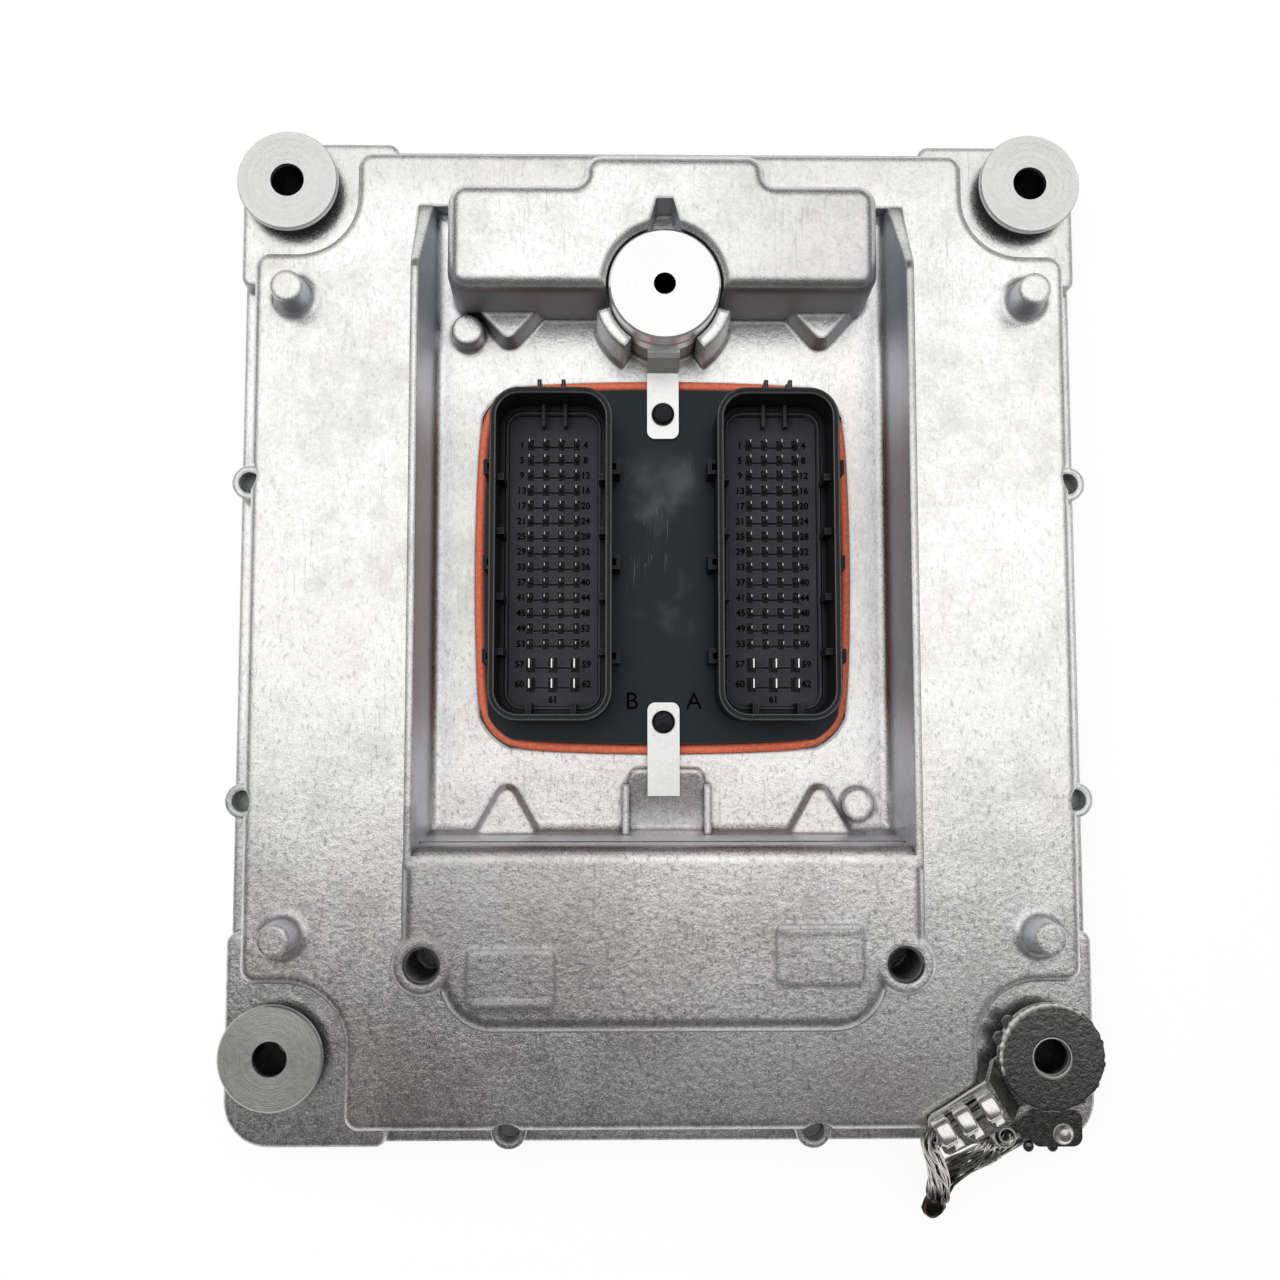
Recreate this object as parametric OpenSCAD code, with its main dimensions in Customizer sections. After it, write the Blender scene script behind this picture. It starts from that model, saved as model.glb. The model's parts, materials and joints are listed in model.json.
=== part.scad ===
// Engine control unit: a cast aluminium housing on four rubber isolators, lying on its back.
// Lengths are in mm. The origin is the middle of the four isolator holes on the mounting plane,
// +X runs across the unit, +Y runs towards the upper block and +Z points out of the connector side.

/* [Isolators] */
// Spacing of the isolator holes across the unit
iso_dx = 200; // [192:1:212]
// Spacing of the isolator holes along the unit
iso_dy = 231; // [227:1:242]
// Radius of an isolator washer
washer_r = 13.5; // [12.5:0.1:14.5]
// Thickness of an isolator washer
washer_t = 1.5; // [1:0.1:2.5]
// Radius of the bolt hole through an isolator
bolt_r = 4.5; // [4:0.1:5.2]
// Wall thickness of the steel sleeve in an isolator
sleeve_t = 1.6; // [1:0.1:2.2]
// Thickness of the rubber lip above a corner ledge
lip_t = 4.5; // [3:0.1:6]

/* [Housing] */
// Flange edge beyond the lower isolator holes
tail = 24.5; // [23:0.1:32]
// Wall thickness of the casting
wall_t = 3.5; // [2.8:0.1:4]
// Lean of the cast walls in degrees
lean = 2; // [1:0.1:2.6]
// Rounding of the edge of the main face
edge_r = 2.3; // [1:0.1:2.6]
// Width of the flange strip along the sides
side_strip = 7.3; // [6.6:0.1:8.5]
// Radius of the rounded corner cut around an isolator
cut_r = 15; // [12:0.5:18]

/* [Heights] */
// Gap between the mounting plane and the cover
lift = 4; // [3.6:0.1:6]
// Thickness of the base cover
cover_t = 2.5; // [2:0.1:3.5]
// Thickness of the cover gasket
gasket_t = 1; // [0.6:0.1:1.6]
// Thickness of the flange
flange_t = 6.5; // [5:0.1:8]
// Height of a corner ledge above the gasket
ledge_h = 12.5; // [11.5:0.1:14]
// Height of the main face above the gasket
box_h = 26.5; // [25:0.1:30]
// Depth of the recess below the main face
recess_d = 5.5; // [4.5:0.1:6.5]
// Height of the blocks and side walls above the main face
block_h = 17; // [15:0.1:20]

/* [Recess] */
// Width of the recess floor
recess_w = 118.8; // [116:0.1:122]
// Upper end of the recess
recess_up = 105; // [104:0.1:108]
// Thickness of a side wall at its top
rail_t = 1.9; // [1.4:0.1:3]
// Length of the ramp at the end of a side wall
ramp_l = 22; // [16:0.5:26]

/* [Upper block] */
// Width of the upper block at its foot
up_w = 109; // [104:0.5:112]
// Front of the upper block
up_front = 76.6; // [75.5:0.1:78]
// Back of the upper block
up_back = 105.4; // [104.5:0.1:106.5]
// Width of the step at the back of the upper block
step_w = 47; // [40:0.5:54]
// Depth of the step at the back of the upper block
step_d = 7.6; // [7.2:0.1:9]

/* [Lower block] */
// Width of the lower block at its foot
low_w = 128; // [126:0.5:132]
// Front of the lower block, below the centre line
low_front = 59; // [57:0.1:60]
// Back of the lower block, below the centre line
low_back = 105; // [103:0.1:108]
// Spacing of the two threaded bosses
boss_dx = 115.6; // [114:0.1:119]
// Radius of a threaded boss
boss_r = 7.5; // [6.6:0.1:7.8]
// Radius of the hole in a threaded boss
boss_hole_r = 4.25; // [3.4:0.05:5]
// Depth of the hole in a threaded boss
boss_hole_l = 18; // [14:0.5:19]
// Rounding of the block edges
block_r = 4; // [2:0.1:4.2]

/* [Posts and screws] */
// Spacing of the cast posts across the unit
post_dx = 190.4; // [186:0.1:193]
// Radius of a cast post
post_r = 4.1; // [3:0.1:4.5]
// Height of a cast post
post_h = 9.7; // [8:0.1:12]
// Radius of a cover screw
screw_r = 2.5; // [2:0.05:2.6]
// Radius of a rim boss around a cover screw
rim_r = 4.6; // [4.3:0.1:5]
// Height of a rim boss above the gasket
rim_h = 16.5; // [15:0.1:19]

/* [Connector] */
// Size of the square header plate
plate_w = 92.6; // [90:0.1:96]
// Sideways place of the header, the pillar and the clips
mid_x = 0.5; // [-1:0.1:1]
// Place of the header along the unit
plate_y = 10.8; // [10:0.1:12]
// Width of the seal around the header
seal_w = 2.2; // [1.8:0.1:2.8]
// Spacing of the two sockets
socket_dx = 56.8; // [55.5:0.1:58]
// Outer width of a socket shell
socket_w = 30.5; // [29.5:0.1:31.5]
// Outer length of a socket shell
socket_l = 83.2; // [81:0.1:84.5]
// Height of a socket shell above the header plate
socket_h = 15.5; // [13:0.1:18]
// Wall thickness of a socket shell
shell_t = 1.6; // [1.2:0.1:2]
// Pitch of the signal pins
pitch = 4; // [3.8:0.01:4.1]
// Width of a signal pin
pin_w = 0.8; // [0.6:0.05:1.1]

/* [Pillar and clips] */
// Radius of the centre pillar
pillar_r = 14; // [13:0.1:14.4]
// Height of the centre pillar
pillar_h = 10.8; // [9:0.1:12]
// Radius of the hole in the centre pillar
pillar_hole_r = 2.75; // [2.2:0.05:3.3]
// Width of a clip
clip_w = 8.2; // [7:0.1:9]
// Thickness of a clip
clip_t = 1.2; // [0.8:0.1:1.5]

/* [Board] */
// Thickness of the circuit board
board_t = 1.6; // [1.2:0.1:2]
// Gap between the gasket face and the circuit board
board_gap = 6.9; // [6:0.1:7.5]

/* [Ground strap] */
// Radius of the ring terminal
ring_r = 13.2; // [12:0.1:13.4]
// Length of the ring terminal from its hole to the end of its tongue
tongue_l = 36.5; // [35:0.1:38]
// Thickness of the terminals
term_t = 1.4; // [1:0.1:1.8]
// Radius of the braid
braid_r = 2; // [1.6:0.1:2.4]

/* [Hidden] */
$fn = 48;

// Small overlap between bodies of one casting, and clearance between separate pieces
lap = 1;
gap = 0.1;

// Levels
z_gasket = lift + cover_t;
z_part = z_gasket + gasket_t;
z_flange = z_part + flange_t;
z_ledge = z_part + ledge_h;
z_face = z_part + box_h;
z_floor = z_face - recess_d;
z_top = z_face + block_h;
z_roof = z_face - wall_t;
z_under = z_floor - wall_t;
z_rim = z_part + rim_h;
z_disc = z_ledge + lip_t;
z_board = z_part + board_gap;
z_parts = z_board + board_t;

// Plan of the body
iso_x = iso_dx / 2;
iso_y = iso_dy / 2;
body_x = iso_x + washer_r + 0.5;
body_up = iso_y + washer_r;
body_low = -iso_y - tail;
tail_r = 12;
box_x = body_x - side_strip;
box_up = body_up - 8.5;
box_low = body_low + 7.8;
cut_x = iso_x - 19.8;
cut_up = iso_y - 22.2;
cut_low = -iso_y + 19.4;
corner_r = 4.5;
ledge_in = 29;
ledge_up = 27.5;
ledge_low = 31;
ledge_r = 1.4;
bush_r = 9;
bush_lip_r = 12.5;

// Plan of the recess
recess_x = recess_w / 2;
recess_low = -low_front;
rail_lean = 1.6 * lean;
floor_fillet = 2.4;
rail_foot = 1;

// Places of the screws and posts
rim_x = body_x - rim_r - 0.5;
rim_in = iso_x - 60.9;
rim_up = iso_y - 81.8;
rim_low = -iso_y + 65.3;
rim_places = [[rim_x, rim_up], [rim_x, rim_low], [-rim_x, rim_up], [-rim_x, rim_low],
  [rim_in, body_low + 5.7], [-rim_in, body_low + 5.7]];
blind_x = cut_x + 0.4;
blind_places = [[blind_x, body_up - 5.2], [-blind_x, body_up - 5.2], [blind_x, body_low + 7.5],
  [-blind_x, body_low + 7.5]];
tip_z = z_rim - 4.5;
blind_top = z_ledge - 2;
post_up = iso_y - 35.2;
post_low = -iso_y + 32.2;
post_places = [for (x = [-1, 1], y = [post_up, post_low]) [x * post_dx / 2, y]];
head_r = 4.3;
head_t = 2.6;
column_r = 4.6;
column_x = box_x - 14.7;
column_in = cut_x - 14.2;
column_up = box_up - 12.5;
column_low = box_low + 16.2;
column_mid = cut_up - 27.3;
column_places = [for (x = [-1, 1]) each [[x * column_x, column_mid], [x * column_x, -column_mid],
  [x * column_in, column_up], [x * column_in, column_low]]];
board_screw_r = 1.9;
board_screw_l = 8;
bead_x = cut_x - 26.2;
bead_y = cut_up - 9.3;

// Threaded bosses and the two bare pads of the lower block
boss_x = boss_dx / 2;
boss_y = -low_front - 28.9;
low_tip = 55;
low_tip_r = 14;
pad_places = [[-36.6, boss_y - 3.4], [37.2, boss_y + 2.4]];
pad_w = 21;
pad_l = 14.2;
pad_t = 0.6;
pad_line = 1;

// Centre pillar, its cradle and the clips
pillar_y = up_front + 2.3;
bite_r = pillar_r + 0.7;
bite_edge = 1.6;
notch_w = 2.1;
notch_foot = 4.6;
notch_y = up_back - 5.1;
notch_root = pillar_y + bite_r - 2;
z_seat = z_floor + 9.5;
z_pillar = z_seat + clip_t;
spigot_r = 5;
spigot_l = 8;
cradle_h = 15.5;
stud_r = 2.9;
seat_x = mid_x + 0.8;
seat_y = -low_front + 17.4;
seat_w = 19.6;
seat_rib = 1.7;
seat_rib_l = 13.3;
seat_fall = 2.3;
foot_d = 3.4;
stud_up = 39.4;
stud_low = -40.6;

// Pointed lugs and round bumps on the recess floor
lug_up_h = 5.9;
lug_low_h = 3;
lug_w = 16;
lug_tip_r = 1.9;
lug_lean = 1.9;
lug_up_x = [mid_x - 40.3, mid_x + 41.4];
lug_up_y = up_front - 4.6;
lug_low_x = [mid_x - 40.1, mid_x + 40.1];
lug_low_y = -low_front + 9.9;
bump_r = 4;
bump_places = [[mid_x - 51, up_front - 4.5, lug_up_h], [mid_x + 49.9, -low_front + 8.1, lug_low_h]];

// Parts on the board
chip_x = (recess_x + box_x) / 2 - 10;
cpu_w = 30;
cpu_t = 3;
driver_w = 14;
driver_l = 9;
driver_t = 2.4;
driver_pitch = 16;
power_w = 9;
power_t = 4.4;
power_gap = 4.5;
power_pitch = 16;
pocket_x = boss_x - boss_r - 3.6;
can_r = 8;
can_pitch = (pocket_x - can_r - 1) / 2;
can_y = -(low_front + low_back) / 2;
can_h = z_top - wall_t - z_parts - 4;
coil_w = 11;
coil_l = 12;
coil_h = z_top - wall_t - z_parts - 7;
coil_hole = 8;
coil_pitch = 13;
coil_x = (pillar_r + 7 + up_w / 2 - wall_t - 2) / 2;

// Header and sockets
z_seat_floor = z_floor - 1;
z_plate = z_floor + 2.5;
z_socket = z_plate - 1;
z_mouth = z_plate + socket_h;
opening_w = plate_w - 10;
plate_r = 13;
bow = 600;
socket_y = plate_y + 1.2;
socket_r = 7.4;
row_y = socket_y + 4.25;
cols = 4;
rows = 14;
pin_l = 7;
blade_w = 1;
blade_l = 2.6;
blade_dx = 5.7;
blade_y = [-27, -32.1];
rib_y = [19.6, 5.9, -10.6, -24.4];
loop_y = [-25.4, -1.7, 22.6];
loop_d = 2;
loop_l = 3.6;
step_h = 3;
step_t = 1.1;

// Ground strap
tongue_a = 208.5;
tongue_w = 12;
barrel_t = 0.5;
barrel_l = 16.6;
band_l = 3.2;
band_u = [tongue_l - barrel_l, tongue_l - 9.8, tongue_l - band_l - 0.8];
braid_gap = 0.05;
nub_a = [141, 160];
barrel_r = braid_r + barrel_t;
ring_z = z_disc + washer_t;
hop = max(2, z_face + 0.6 - ring_z);
upper_axis = ring_z + hop + term_t + barrel_r - 0.3;
lug_x = iso_x + 4.3;
lug_y = body_low + 3.7;
lug_screw_r = 1.6;
lug_a = 208.5;
lug_start = [iso_x - 8, body_low + 4.2];
lug_barrel_l = 6.5;
braid_fall = [[-1.5, -1.2, 0.2], [-1.6, -3, 1], [-0.8, -5.4, 2.8], [0.4, -8.8, 5.6], [1.4, -12.4, 9],
  [2.2, -15.8, 12.4], [2.7, -18.8, 15.6], [3.4, -20.8, 18]];
braid_rise = [[-13.6, -15.2, 5.6], [-12, -12.6, 5.4], [-10.2, -9.4, 4.6], [-8, -6.4, 3.2],
  [-5.2, -3.6, 1.5], [-2.8, -1.8, 0.4]];
lower_axis = z_ledge + term_t + barrel_r - 0.3;

// Colours
c_cast = [0.78, 0.78, 0.79];
c_steel = [0.6, 0.62, 0.63];
c_bright = [0.9, 0.9, 0.9];
c_dark = [0.1, 0.11, 0.11];
c_plastic = [0.08, 0.09, 0.09];
c_seal = [0.85, 0.33, 0.2];
c_rubber = [0.12, 0.12, 0.12];
c_board = [0.1, 0.35, 0.2];
c_tin = [0.8, 0.8, 0.76];

// Outlines: each corner is [x, y, radius], listed anticlockwise along square turns
function xy(v) = [v[0], v[1]];
function at(p, i) = p[(i + len(p)) % len(p)];
function unit(v) = v / norm(v);
function way_in(p, i) = unit(xy(at(p, i)) - xy(at(p, i - 1)));
function way_out(p, i) = unit(xy(at(p, i + 1)) - xy(at(p, i)));
function turn(p, i) = cross(way_in(p, i), way_out(p, i));
function rad(p, i) = at(p, i)[2];
function mid(p, i) = xy(at(p, i)) + rad(p, i) * (way_out(p, i) - way_in(p, i));
function arc_start(p, i) = xy(at(p, i)) - rad(p, i) * way_in(p, i);
function arc_end(p, i) = xy(at(p, i)) + rad(p, i) * way_out(p, i);
function bearing(v) = atan2(v[1], v[0]);

module corner_piece(p, i) {
  difference() {
    polygon([xy(at(p, i)), arc_start(p, i), mid(p, i), arc_end(p, i)]);
    translate(mid(p, i))
      circle(rad(p, i));
  }
}

module outline(p) {
  difference() {
    union() {
      polygon([for (v = p) xy(v)]);
      for (i = [0:len(p) - 1])
        if (turn(p, i) < 0)
          corner_piece(p, i);
    }
    for (i = [0:len(p) - 1])
      if (turn(p, i) > 0)
        corner_piece(p, i);
  }
}

// Space outside a leaning wall with a rounded top edge: first value outward, second value up
round_steps = 5;
trim_out = 1;
function trim_profile(h, a, r, s) =
  let (t = tan(a), in = -r / cos(a) - (h - r) * t, up = h - r + 0.03)
  concat([[s * t, -1], [s * trim_out, -1], [s * trim_out, h + 1], [s * in, h + 1]],
    [for (j = [0:round_steps])
      let (b = 90 - j * (90 - a) / round_steps)
      [s * (in + r * cos(b)), up + r * sin(b)]]);

module wall_trims(p, h, a, r) {
  for (i = [0:len(p) - 1]) {
    s = turn(p, i) > 0 ? 1 : -1;
    run = arc_start(p, i + 1) - arc_end(p, i);
    translate(mid(p, i))
      rotate(s > 0 ? bearing(-way_out(p, i)) : bearing(way_in(p, i)))
      rotate_extrude(angle = 90)
      translate([rad(p, i), 0])
      polygon(trim_profile(h, a, r, s));
    if (norm(run) > 0.01)
      translate(arc_end(p, i))
        rotate(bearing(run))
        rotate([90, 0, 90])
        linear_extrude(norm(run))
        mirror([1, 0])
        polygon(trim_profile(h, a, r, 1));
  }
}

// Cast block with leaning walls and a rounded top edge
module lump(p, z, h, a, r) {
  translate([0, 0, z])
    difference() {
      translate([0, 0, -lap])
        linear_extrude(h + lap)
        outline(p);
      wall_trims(p, h, a, r);
    }
}

module plate(p, z, h) {
  translate([0, 0, z])
    linear_extrude(h)
    outline(p);
}

module both_sides() {
  children();
  mirror([1, 0, 0])
    children();
}

module at_isolators() {
  for (x = [-iso_x, iso_x], y = [-iso_y, iso_y])
    translate([x, y, 0])
      children();
}

// Plan outlines
function flange_plan(i) = [[-body_x + i, body_low + i, tail_r - i], [body_x - i, body_low + i, tail_r - i],
  [body_x - i, body_up - i, washer_r - i], [-body_x + i, body_up - i, washer_r - i]];
function box_plan(i) =
  let (c = max(1.5, corner_r - i), v = cut_r + i)
  [[-cut_x + i, box_low + i, c], [cut_x - i, box_low + i, c], [cut_x - i, cut_low + i, v],
    [box_x - i, cut_low + i, c], [box_x - i, cut_up - i, c], [cut_x - i, cut_up - i, v],
    [cut_x - i, box_up - i, c], [-cut_x + i, box_up - i, c], [-cut_x + i, cut_up - i, v],
    [-box_x + i, cut_up - i, c], [-box_x + i, cut_low + i, c], [-cut_x + i, cut_low + i, v]];
function slab(x0, y0, x1, y1, r) = [[x0, y0, r], [x1, y0, r], [x1, y1, r], [x0, y1, r]];
function up_plan() =
  let (w = up_w / 2, s = mid_x + 2.5, b = up_back + step_d)
  [[-w, up_front, 5.6], [w, up_front, 5.6], [w, up_back, 5.6], [s + step_w / 2, up_back, 2],
    [s + step_w / 2, b, 5.3], [s - step_w / 2, b, 5.3], [s - step_w / 2, up_back, 2], [-w, up_back, 5.6]];
function low_plan() =
  let (w = low_w / 2, y = boss_y - 2)
  [[-low_tip, -low_back, low_tip_r], [low_tip, -low_back, low_tip_r], [low_tip, y, 1.5], [w, y, 5.4],
    [w, -low_front, 5.6], [-w, -low_front, 5.6], [-w, y, 5.4], [-low_tip, y, 1.5]];

function opening_plan(i) =
  let (w = opening_w / 2 - i)
  slab(mid_x - w, plate_y - w, mid_x + w, plate_y + w, 6 - i);

// Housing pieces
module corner_ledges() {
  both_sides() {
    lump([[iso_x - ledge_in, iso_y - ledge_up, 3], [body_x - 0.3, iso_y - ledge_up, 3],
      [body_x - 0.3, body_up - 0.3, washer_r], [iso_x - ledge_in, body_up - 0.3, 3]],
      z_part + lap, ledge_h - lap, lean / 2, ledge_r);
    lump([[iso_x - ledge_in, body_low + 0.3, 3], [body_x - 0.3, body_low + 0.3, tail_r],
      [body_x - 0.3, -iso_y + ledge_low, 3], [iso_x - ledge_in, -iso_y + ledge_low, 3]],
      z_part + lap, ledge_h - lap, lean / 2, ledge_r);
  }
}

module side_rails() {
  h = z_top - z_floor;
  t = tan(rail_lean);
  foot = z_floor - lap;
  both_sides()
    intersection() {
      translate([0, recess_up, foot])
        rotate([90, 0, 0])
        linear_extrude(recess_up + low_front + 6)
        polygon([[recess_x - 2, 0], [recess_x + rail_t + rail_foot + h * t, 0],
          [recess_x + rail_t + h * t, h + lap - 0.4], [recess_x + rail_t + h * t - 0.4, h + lap],
          [recess_x + h * t + 0.3, h + lap], [recess_x - 2, h + lap - 0.2]]);
      translate([recess_x - 4, 0, 0])
        rotate([90, 0, 90])
        linear_extrude(rail_t + 12)
        polygon([[recess_low - 6, foot - 1], [recess_up + 0.3, foot - 1], [recess_up + 0.3, z_face + 0.2],
          [recess_up - 1.2, z_face + 1.4], [recess_up - ramp_l + 2, z_top - 1],
          [recess_up - ramp_l, z_top - 0.2], [recess_up - ramp_l - 2, z_top + 1],
          [recess_low - 6, z_top + 1]]);
    }
}

function bend_point(s, a) = [s * (recess_x - floor_fillet + floor_fillet * sin(a)),
  floor_fillet * (1 - cos(a))];

module recess_space() {
  h = z_top - z_floor + 2;
  x = recess_x + h * tan(rail_lean);
  translate([0, recess_up, z_floor])
    rotate([90, 0, 0])
    linear_extrude(recess_up + low_front + 3)
    polygon(concat([for (a = [0:22.5:90]) bend_point(1, a)], [[x, h], [-x, h]],
      [for (a = [90:-22.5:0]) bend_point(-1, a)]));
}

module upper_block() {
  difference() {
    lump(up_plan(), z_floor, z_top - z_floor, lean, block_r);
    translate([mid_x, pillar_y, z_seat - 2])
      cylinder(r = bite_r, h = z_top);
    translate([mid_x, pillar_y, z_top - bite_edge])
      cylinder(r1 = bite_r - 0.05, r2 = bite_r + bite_edge, h = bite_edge + 0.05);
    translate([mid_x, 0, z_seat + 2])
      linear_extrude(z_top)
      polygon([[-notch_w, notch_y], [notch_w, notch_y], [notch_foot, notch_root], [-notch_foot, notch_root]]);
  }
}

module lower_block() {
  lump(low_plan(), z_floor, z_top - z_floor, lean, block_r);
  both_sides()
    translate([boss_x, boss_y, z_face - lap])
    rotate_extrude()
    polygon([[0, 0], [boss_r + 0.9, 0], [boss_r + 0.1, block_h + lap - 1.1],
      [boss_r - 1, block_h + lap + 0.1], [0, block_h + lap + 0.1]]);
  for (c = pad_places)
    lump(slab(c[0] - pad_w / 2, c[1] - pad_l / 2, c[0] + pad_w / 2, c[1] + pad_l / 2, 1.8),
      z_top, pad_t, lean, 0.3);
  for (c = pad_places)
    translate([c[0] - pad_w / 2 + 1, c[1] + sign(c[0]) * (pad_l / 2 - 1.6) - pad_line / 2, z_top])
      cube([pad_w - 2, pad_line, pad_t + 0.35]);
}

module posts() {
  for (p = post_places)
    translate([p[0], p[1], z_face - lap])
      rotate_extrude()
      polygon([[0, 0], [post_r + 2.3, 0], [post_r + 2.3, lap + 0.1], [post_r + 1.1, lap + 0.6],
        [post_r + 0.4, lap + 1.8], [post_r, lap + post_h - 0.5], [post_r - 0.5, lap + post_h],
        [0, lap + post_h]]);
}

module rim_bosses() {
  for (p = rim_places)
    translate([p[0], p[1], z_part + lap])
      rotate_extrude()
      polygon([[0, 0], [rim_r, 0], [rim_r, rim_h - lap - 0.5], [rim_r - 0.5, rim_h - lap], [0, rim_h - lap]]);
}

module pillar_cradle() {
  translate([mid_x, pillar_y, z_under])
    cylinder(r = pillar_r - 0.4, h = z_pillar - z_under);
  for (a = [197, 305])
    translate([mid_x, pillar_y, z_floor - lap])
      rotate(a)
      rotate_extrude(angle = 38)
      polygon([[bite_r - 0.2, 0], [bite_r + 4.8, 0], [bite_r + 4.2, lap + 0.6], [bite_r + 3.5, lap + 1.8],
        [bite_r + 3, lap + cradle_h - 0.5], [bite_r + 2.5, lap + cradle_h], [bite_r - 0.2, lap + cradle_h]]);
}

module clip_seat() {
  back = -low_front - lap;
  intersection() {
    plate(slab(seat_x - seat_w / 2, back - 6, seat_x + seat_w / 2, seat_y, 3), z_floor - lap, z_face);
    translate([seat_x - seat_w / 2, 0, 0])
      rotate([90, 0, 90])
      linear_extrude(seat_w)
      polygon([[back, z_floor - lap], [seat_y, z_floor - lap], [seat_y, z_plate - 0.6],
        [seat_y - 0.5, z_plate], [seat_y - 1, z_plate], [-low_front, z_plate - seat_fall],
        [back, z_plate - seat_fall]]);
  }
  for (e = [-1, 1])
    translate([seat_x + e * (seat_w / 2 + seat_rib / 2 - 0.2) - seat_rib / 2, back, z_floor - lap])
      cube([seat_rib, seat_rib_l + lap, z_plate - z_floor + lap + 1.4]);
}

// Sloping foot of the lower block
module block_foot() {
  foot_x = recess_x + 1;
  translate([-foot_x, 0, z_floor])
    rotate([90, 0, 90])
    linear_extrude(2 * foot_x)
    polygon([[-low_front - 1, -lap], [-low_front + foot_d, -lap], [-low_front + foot_d, 0],
      [-low_front + 0.5 * foot_d, 0.25 * foot_d], [-low_front + 0.15 * foot_d, foot_d],
      [-low_front - 0.25, 4 * foot_d], [-low_front - 1, 4 * foot_d]]);
}

// Pointed lug of height h that grows out of a block: tip at the origin, root at the given reach
module pointed_lug(reach, h) {
  hull() {
    cylinder(r1 = lug_tip_r + lug_lean, r2 = lug_tip_r, h = h, $fn = 32);
    translate([-lug_w / 2, reach, 0])
      cube([lug_w, 2, h]);
    translate([-lug_w / 2 - lug_lean, reach, 0])
      cube([lug_w + 2 * lug_lean, 2, 0.4]);
  }
}

module floor_lugs() {
  for (x = lug_up_x)
    translate([x, lug_up_y, z_floor - 0.4])
      pointed_lug(up_front - lug_up_y + 1.2, lug_up_h);
  for (x = lug_low_x)
    translate([x, lug_low_y, z_floor - 0.4])
      rotate(180)
      pointed_lug(lug_low_y + low_front + 0.4, lug_low_h);
  for (p = bump_places)
    translate([p[0], p[1], z_floor - lap])
      rotate_extrude()
      polygon([[0, 0], [bump_r + 0.9, 0], [bump_r + 0.9, lap], [bump_r + 0.35, lap + 0.7],
        [bump_r, lap + p[2] - 0.9], [bump_r - 0.5, lap + p[2] - 0.4], [0, lap + p[2] - 0.4]]);
}

module inner_space() {
  difference() {
    plate(box_plan(wall_t), z_part - 1, z_roof - z_part + 1);
    translate([-recess_x - wall_t, -low_front - wall_t, z_under])
      cube([2 * (recess_x + wall_t), recess_up + low_front + 2 * wall_t, z_top]);
  }
  translate([-pocket_x, -low_back + wall_t + 2.5, z_roof - 1])
    cube([2 * pocket_x, low_back - low_front - 2 * wall_t - 4, z_top - wall_t - z_roof + 1]);
  both_sides()
    translate([pillar_r + 7, up_front + wall_t + 1.5, z_under - 1])
    cube([up_w / 2 - pillar_r - 7 - wall_t - 2, up_back - up_front - 2 * wall_t - 3,
      z_top - wall_t - z_under + 1]);
}

module board_columns() {
  for (p = column_places)
    translate([p[0], p[1], z_parts])
      cylinder(r = column_r, h = z_roof - z_parts + lap);
}

module header_plan(i) {
  w = plate_w / 2 - i;
  far = bow - i;
  intersection() {
    outline(slab(-w, -w, w, w, plate_r - i));
    translate([bow - plate_w / 2, 0])
      circle(far, $fn = 240);
    translate([plate_w / 2 - bow, 0])
      circle(far, $fn = 240);
    translate([0, bow - plate_w / 2])
      circle(far, $fn = 240);
    translate([0, plate_w / 2 - bow])
      circle(far, $fn = 240);
  }
}

module housing_holes() {
  at_isolators()
    translate([0, 0, z_part - 1])
    cylinder(r = bush_r, h = ledge_h + 2);
  for (p = rim_places) {
    translate([p[0], p[1], z_part - 1])
      cylinder(r = screw_r, h = rim_h + 2);
    translate([p[0], p[1], tip_z])
      cylinder(r = screw_r + 0.3, h = rim_h);
    translate([p[0], p[1], z_rim - 0.2])
      cylinder(r = rim_r + 0.1, h = z_face);
  }
  for (p = blind_places)
    translate([p[0], p[1], z_part - 1])
      cylinder(r = screw_r, h = blind_top - z_part + 1);
  for (p = column_places)
    translate([p[0], p[1], z_parts - 1])
      cylinder(r = board_screw_r, h = board_screw_l + 1.5);
  both_sides()
    translate([boss_x, boss_y, z_top - boss_hole_l])
    cylinder(r = boss_hole_r, h = boss_hole_l + 1);
  translate([mid_x, pillar_y, z_pillar - spigot_l])
    cylinder(r = spigot_r, h = spigot_l + 1);
  translate([mid_x - clip_w / 2 - gap, pillar_y - pillar_r - 1, z_seat])
    cube([clip_w + 2 * gap, pillar_r + 1 - spigot_r, clip_t + 1]);
  translate([mid_x, plate_y, z_seat_floor])
    linear_extrude(2)
    header_plan(-seal_w);
  plate(opening_plan(0), z_under - 1, wall_t + 2);
  translate([lug_x, lug_y, z_ledge - 9])
    cylinder(r = lug_screw_r, h = 10);
}

module housing() {
  color(c_cast)
    difference() {
      union() {
        difference() {
          union() {
            lump(flange_plan(0), z_part + lap, flange_t - lap, lean, 1);
            plate(flange_plan(0), z_part, 2 * lap);
            corner_ledges();
            difference() {
              union() {
                lump(box_plan(0), z_flange, z_face - z_flange, lean, edge_r);
                plate(box_plan(0), z_part + lap, flange_t);
                side_rails();
              }
              recess_space();
            }
            upper_block();
            lower_block();
            posts();
            rim_bosses();
            clip_seat();
            block_foot();
            floor_lugs();
          }
          inner_space();
        }
        pillar_cradle();
        board_columns();
      }
      housing_holes();
    }
}

// Base cover, gasket and screws
module cover_plan(i) {
  difference() {
    outline(flange_plan(0.6 + i));
    for (s = [-1, 1], t = [-1, 1])
      translate([s * iso_x, t * iso_y])
        scale([s, t]) {
          circle(washer_r + 0.7 + i);
          translate([0, -washer_r - 0.7 - i])
            square([2 * washer_r, 2 * tail]);
          translate([-washer_r - 0.7 - i, 0])
            square([3 * washer_r, 2 * tail]);
        }
  }
}

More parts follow.
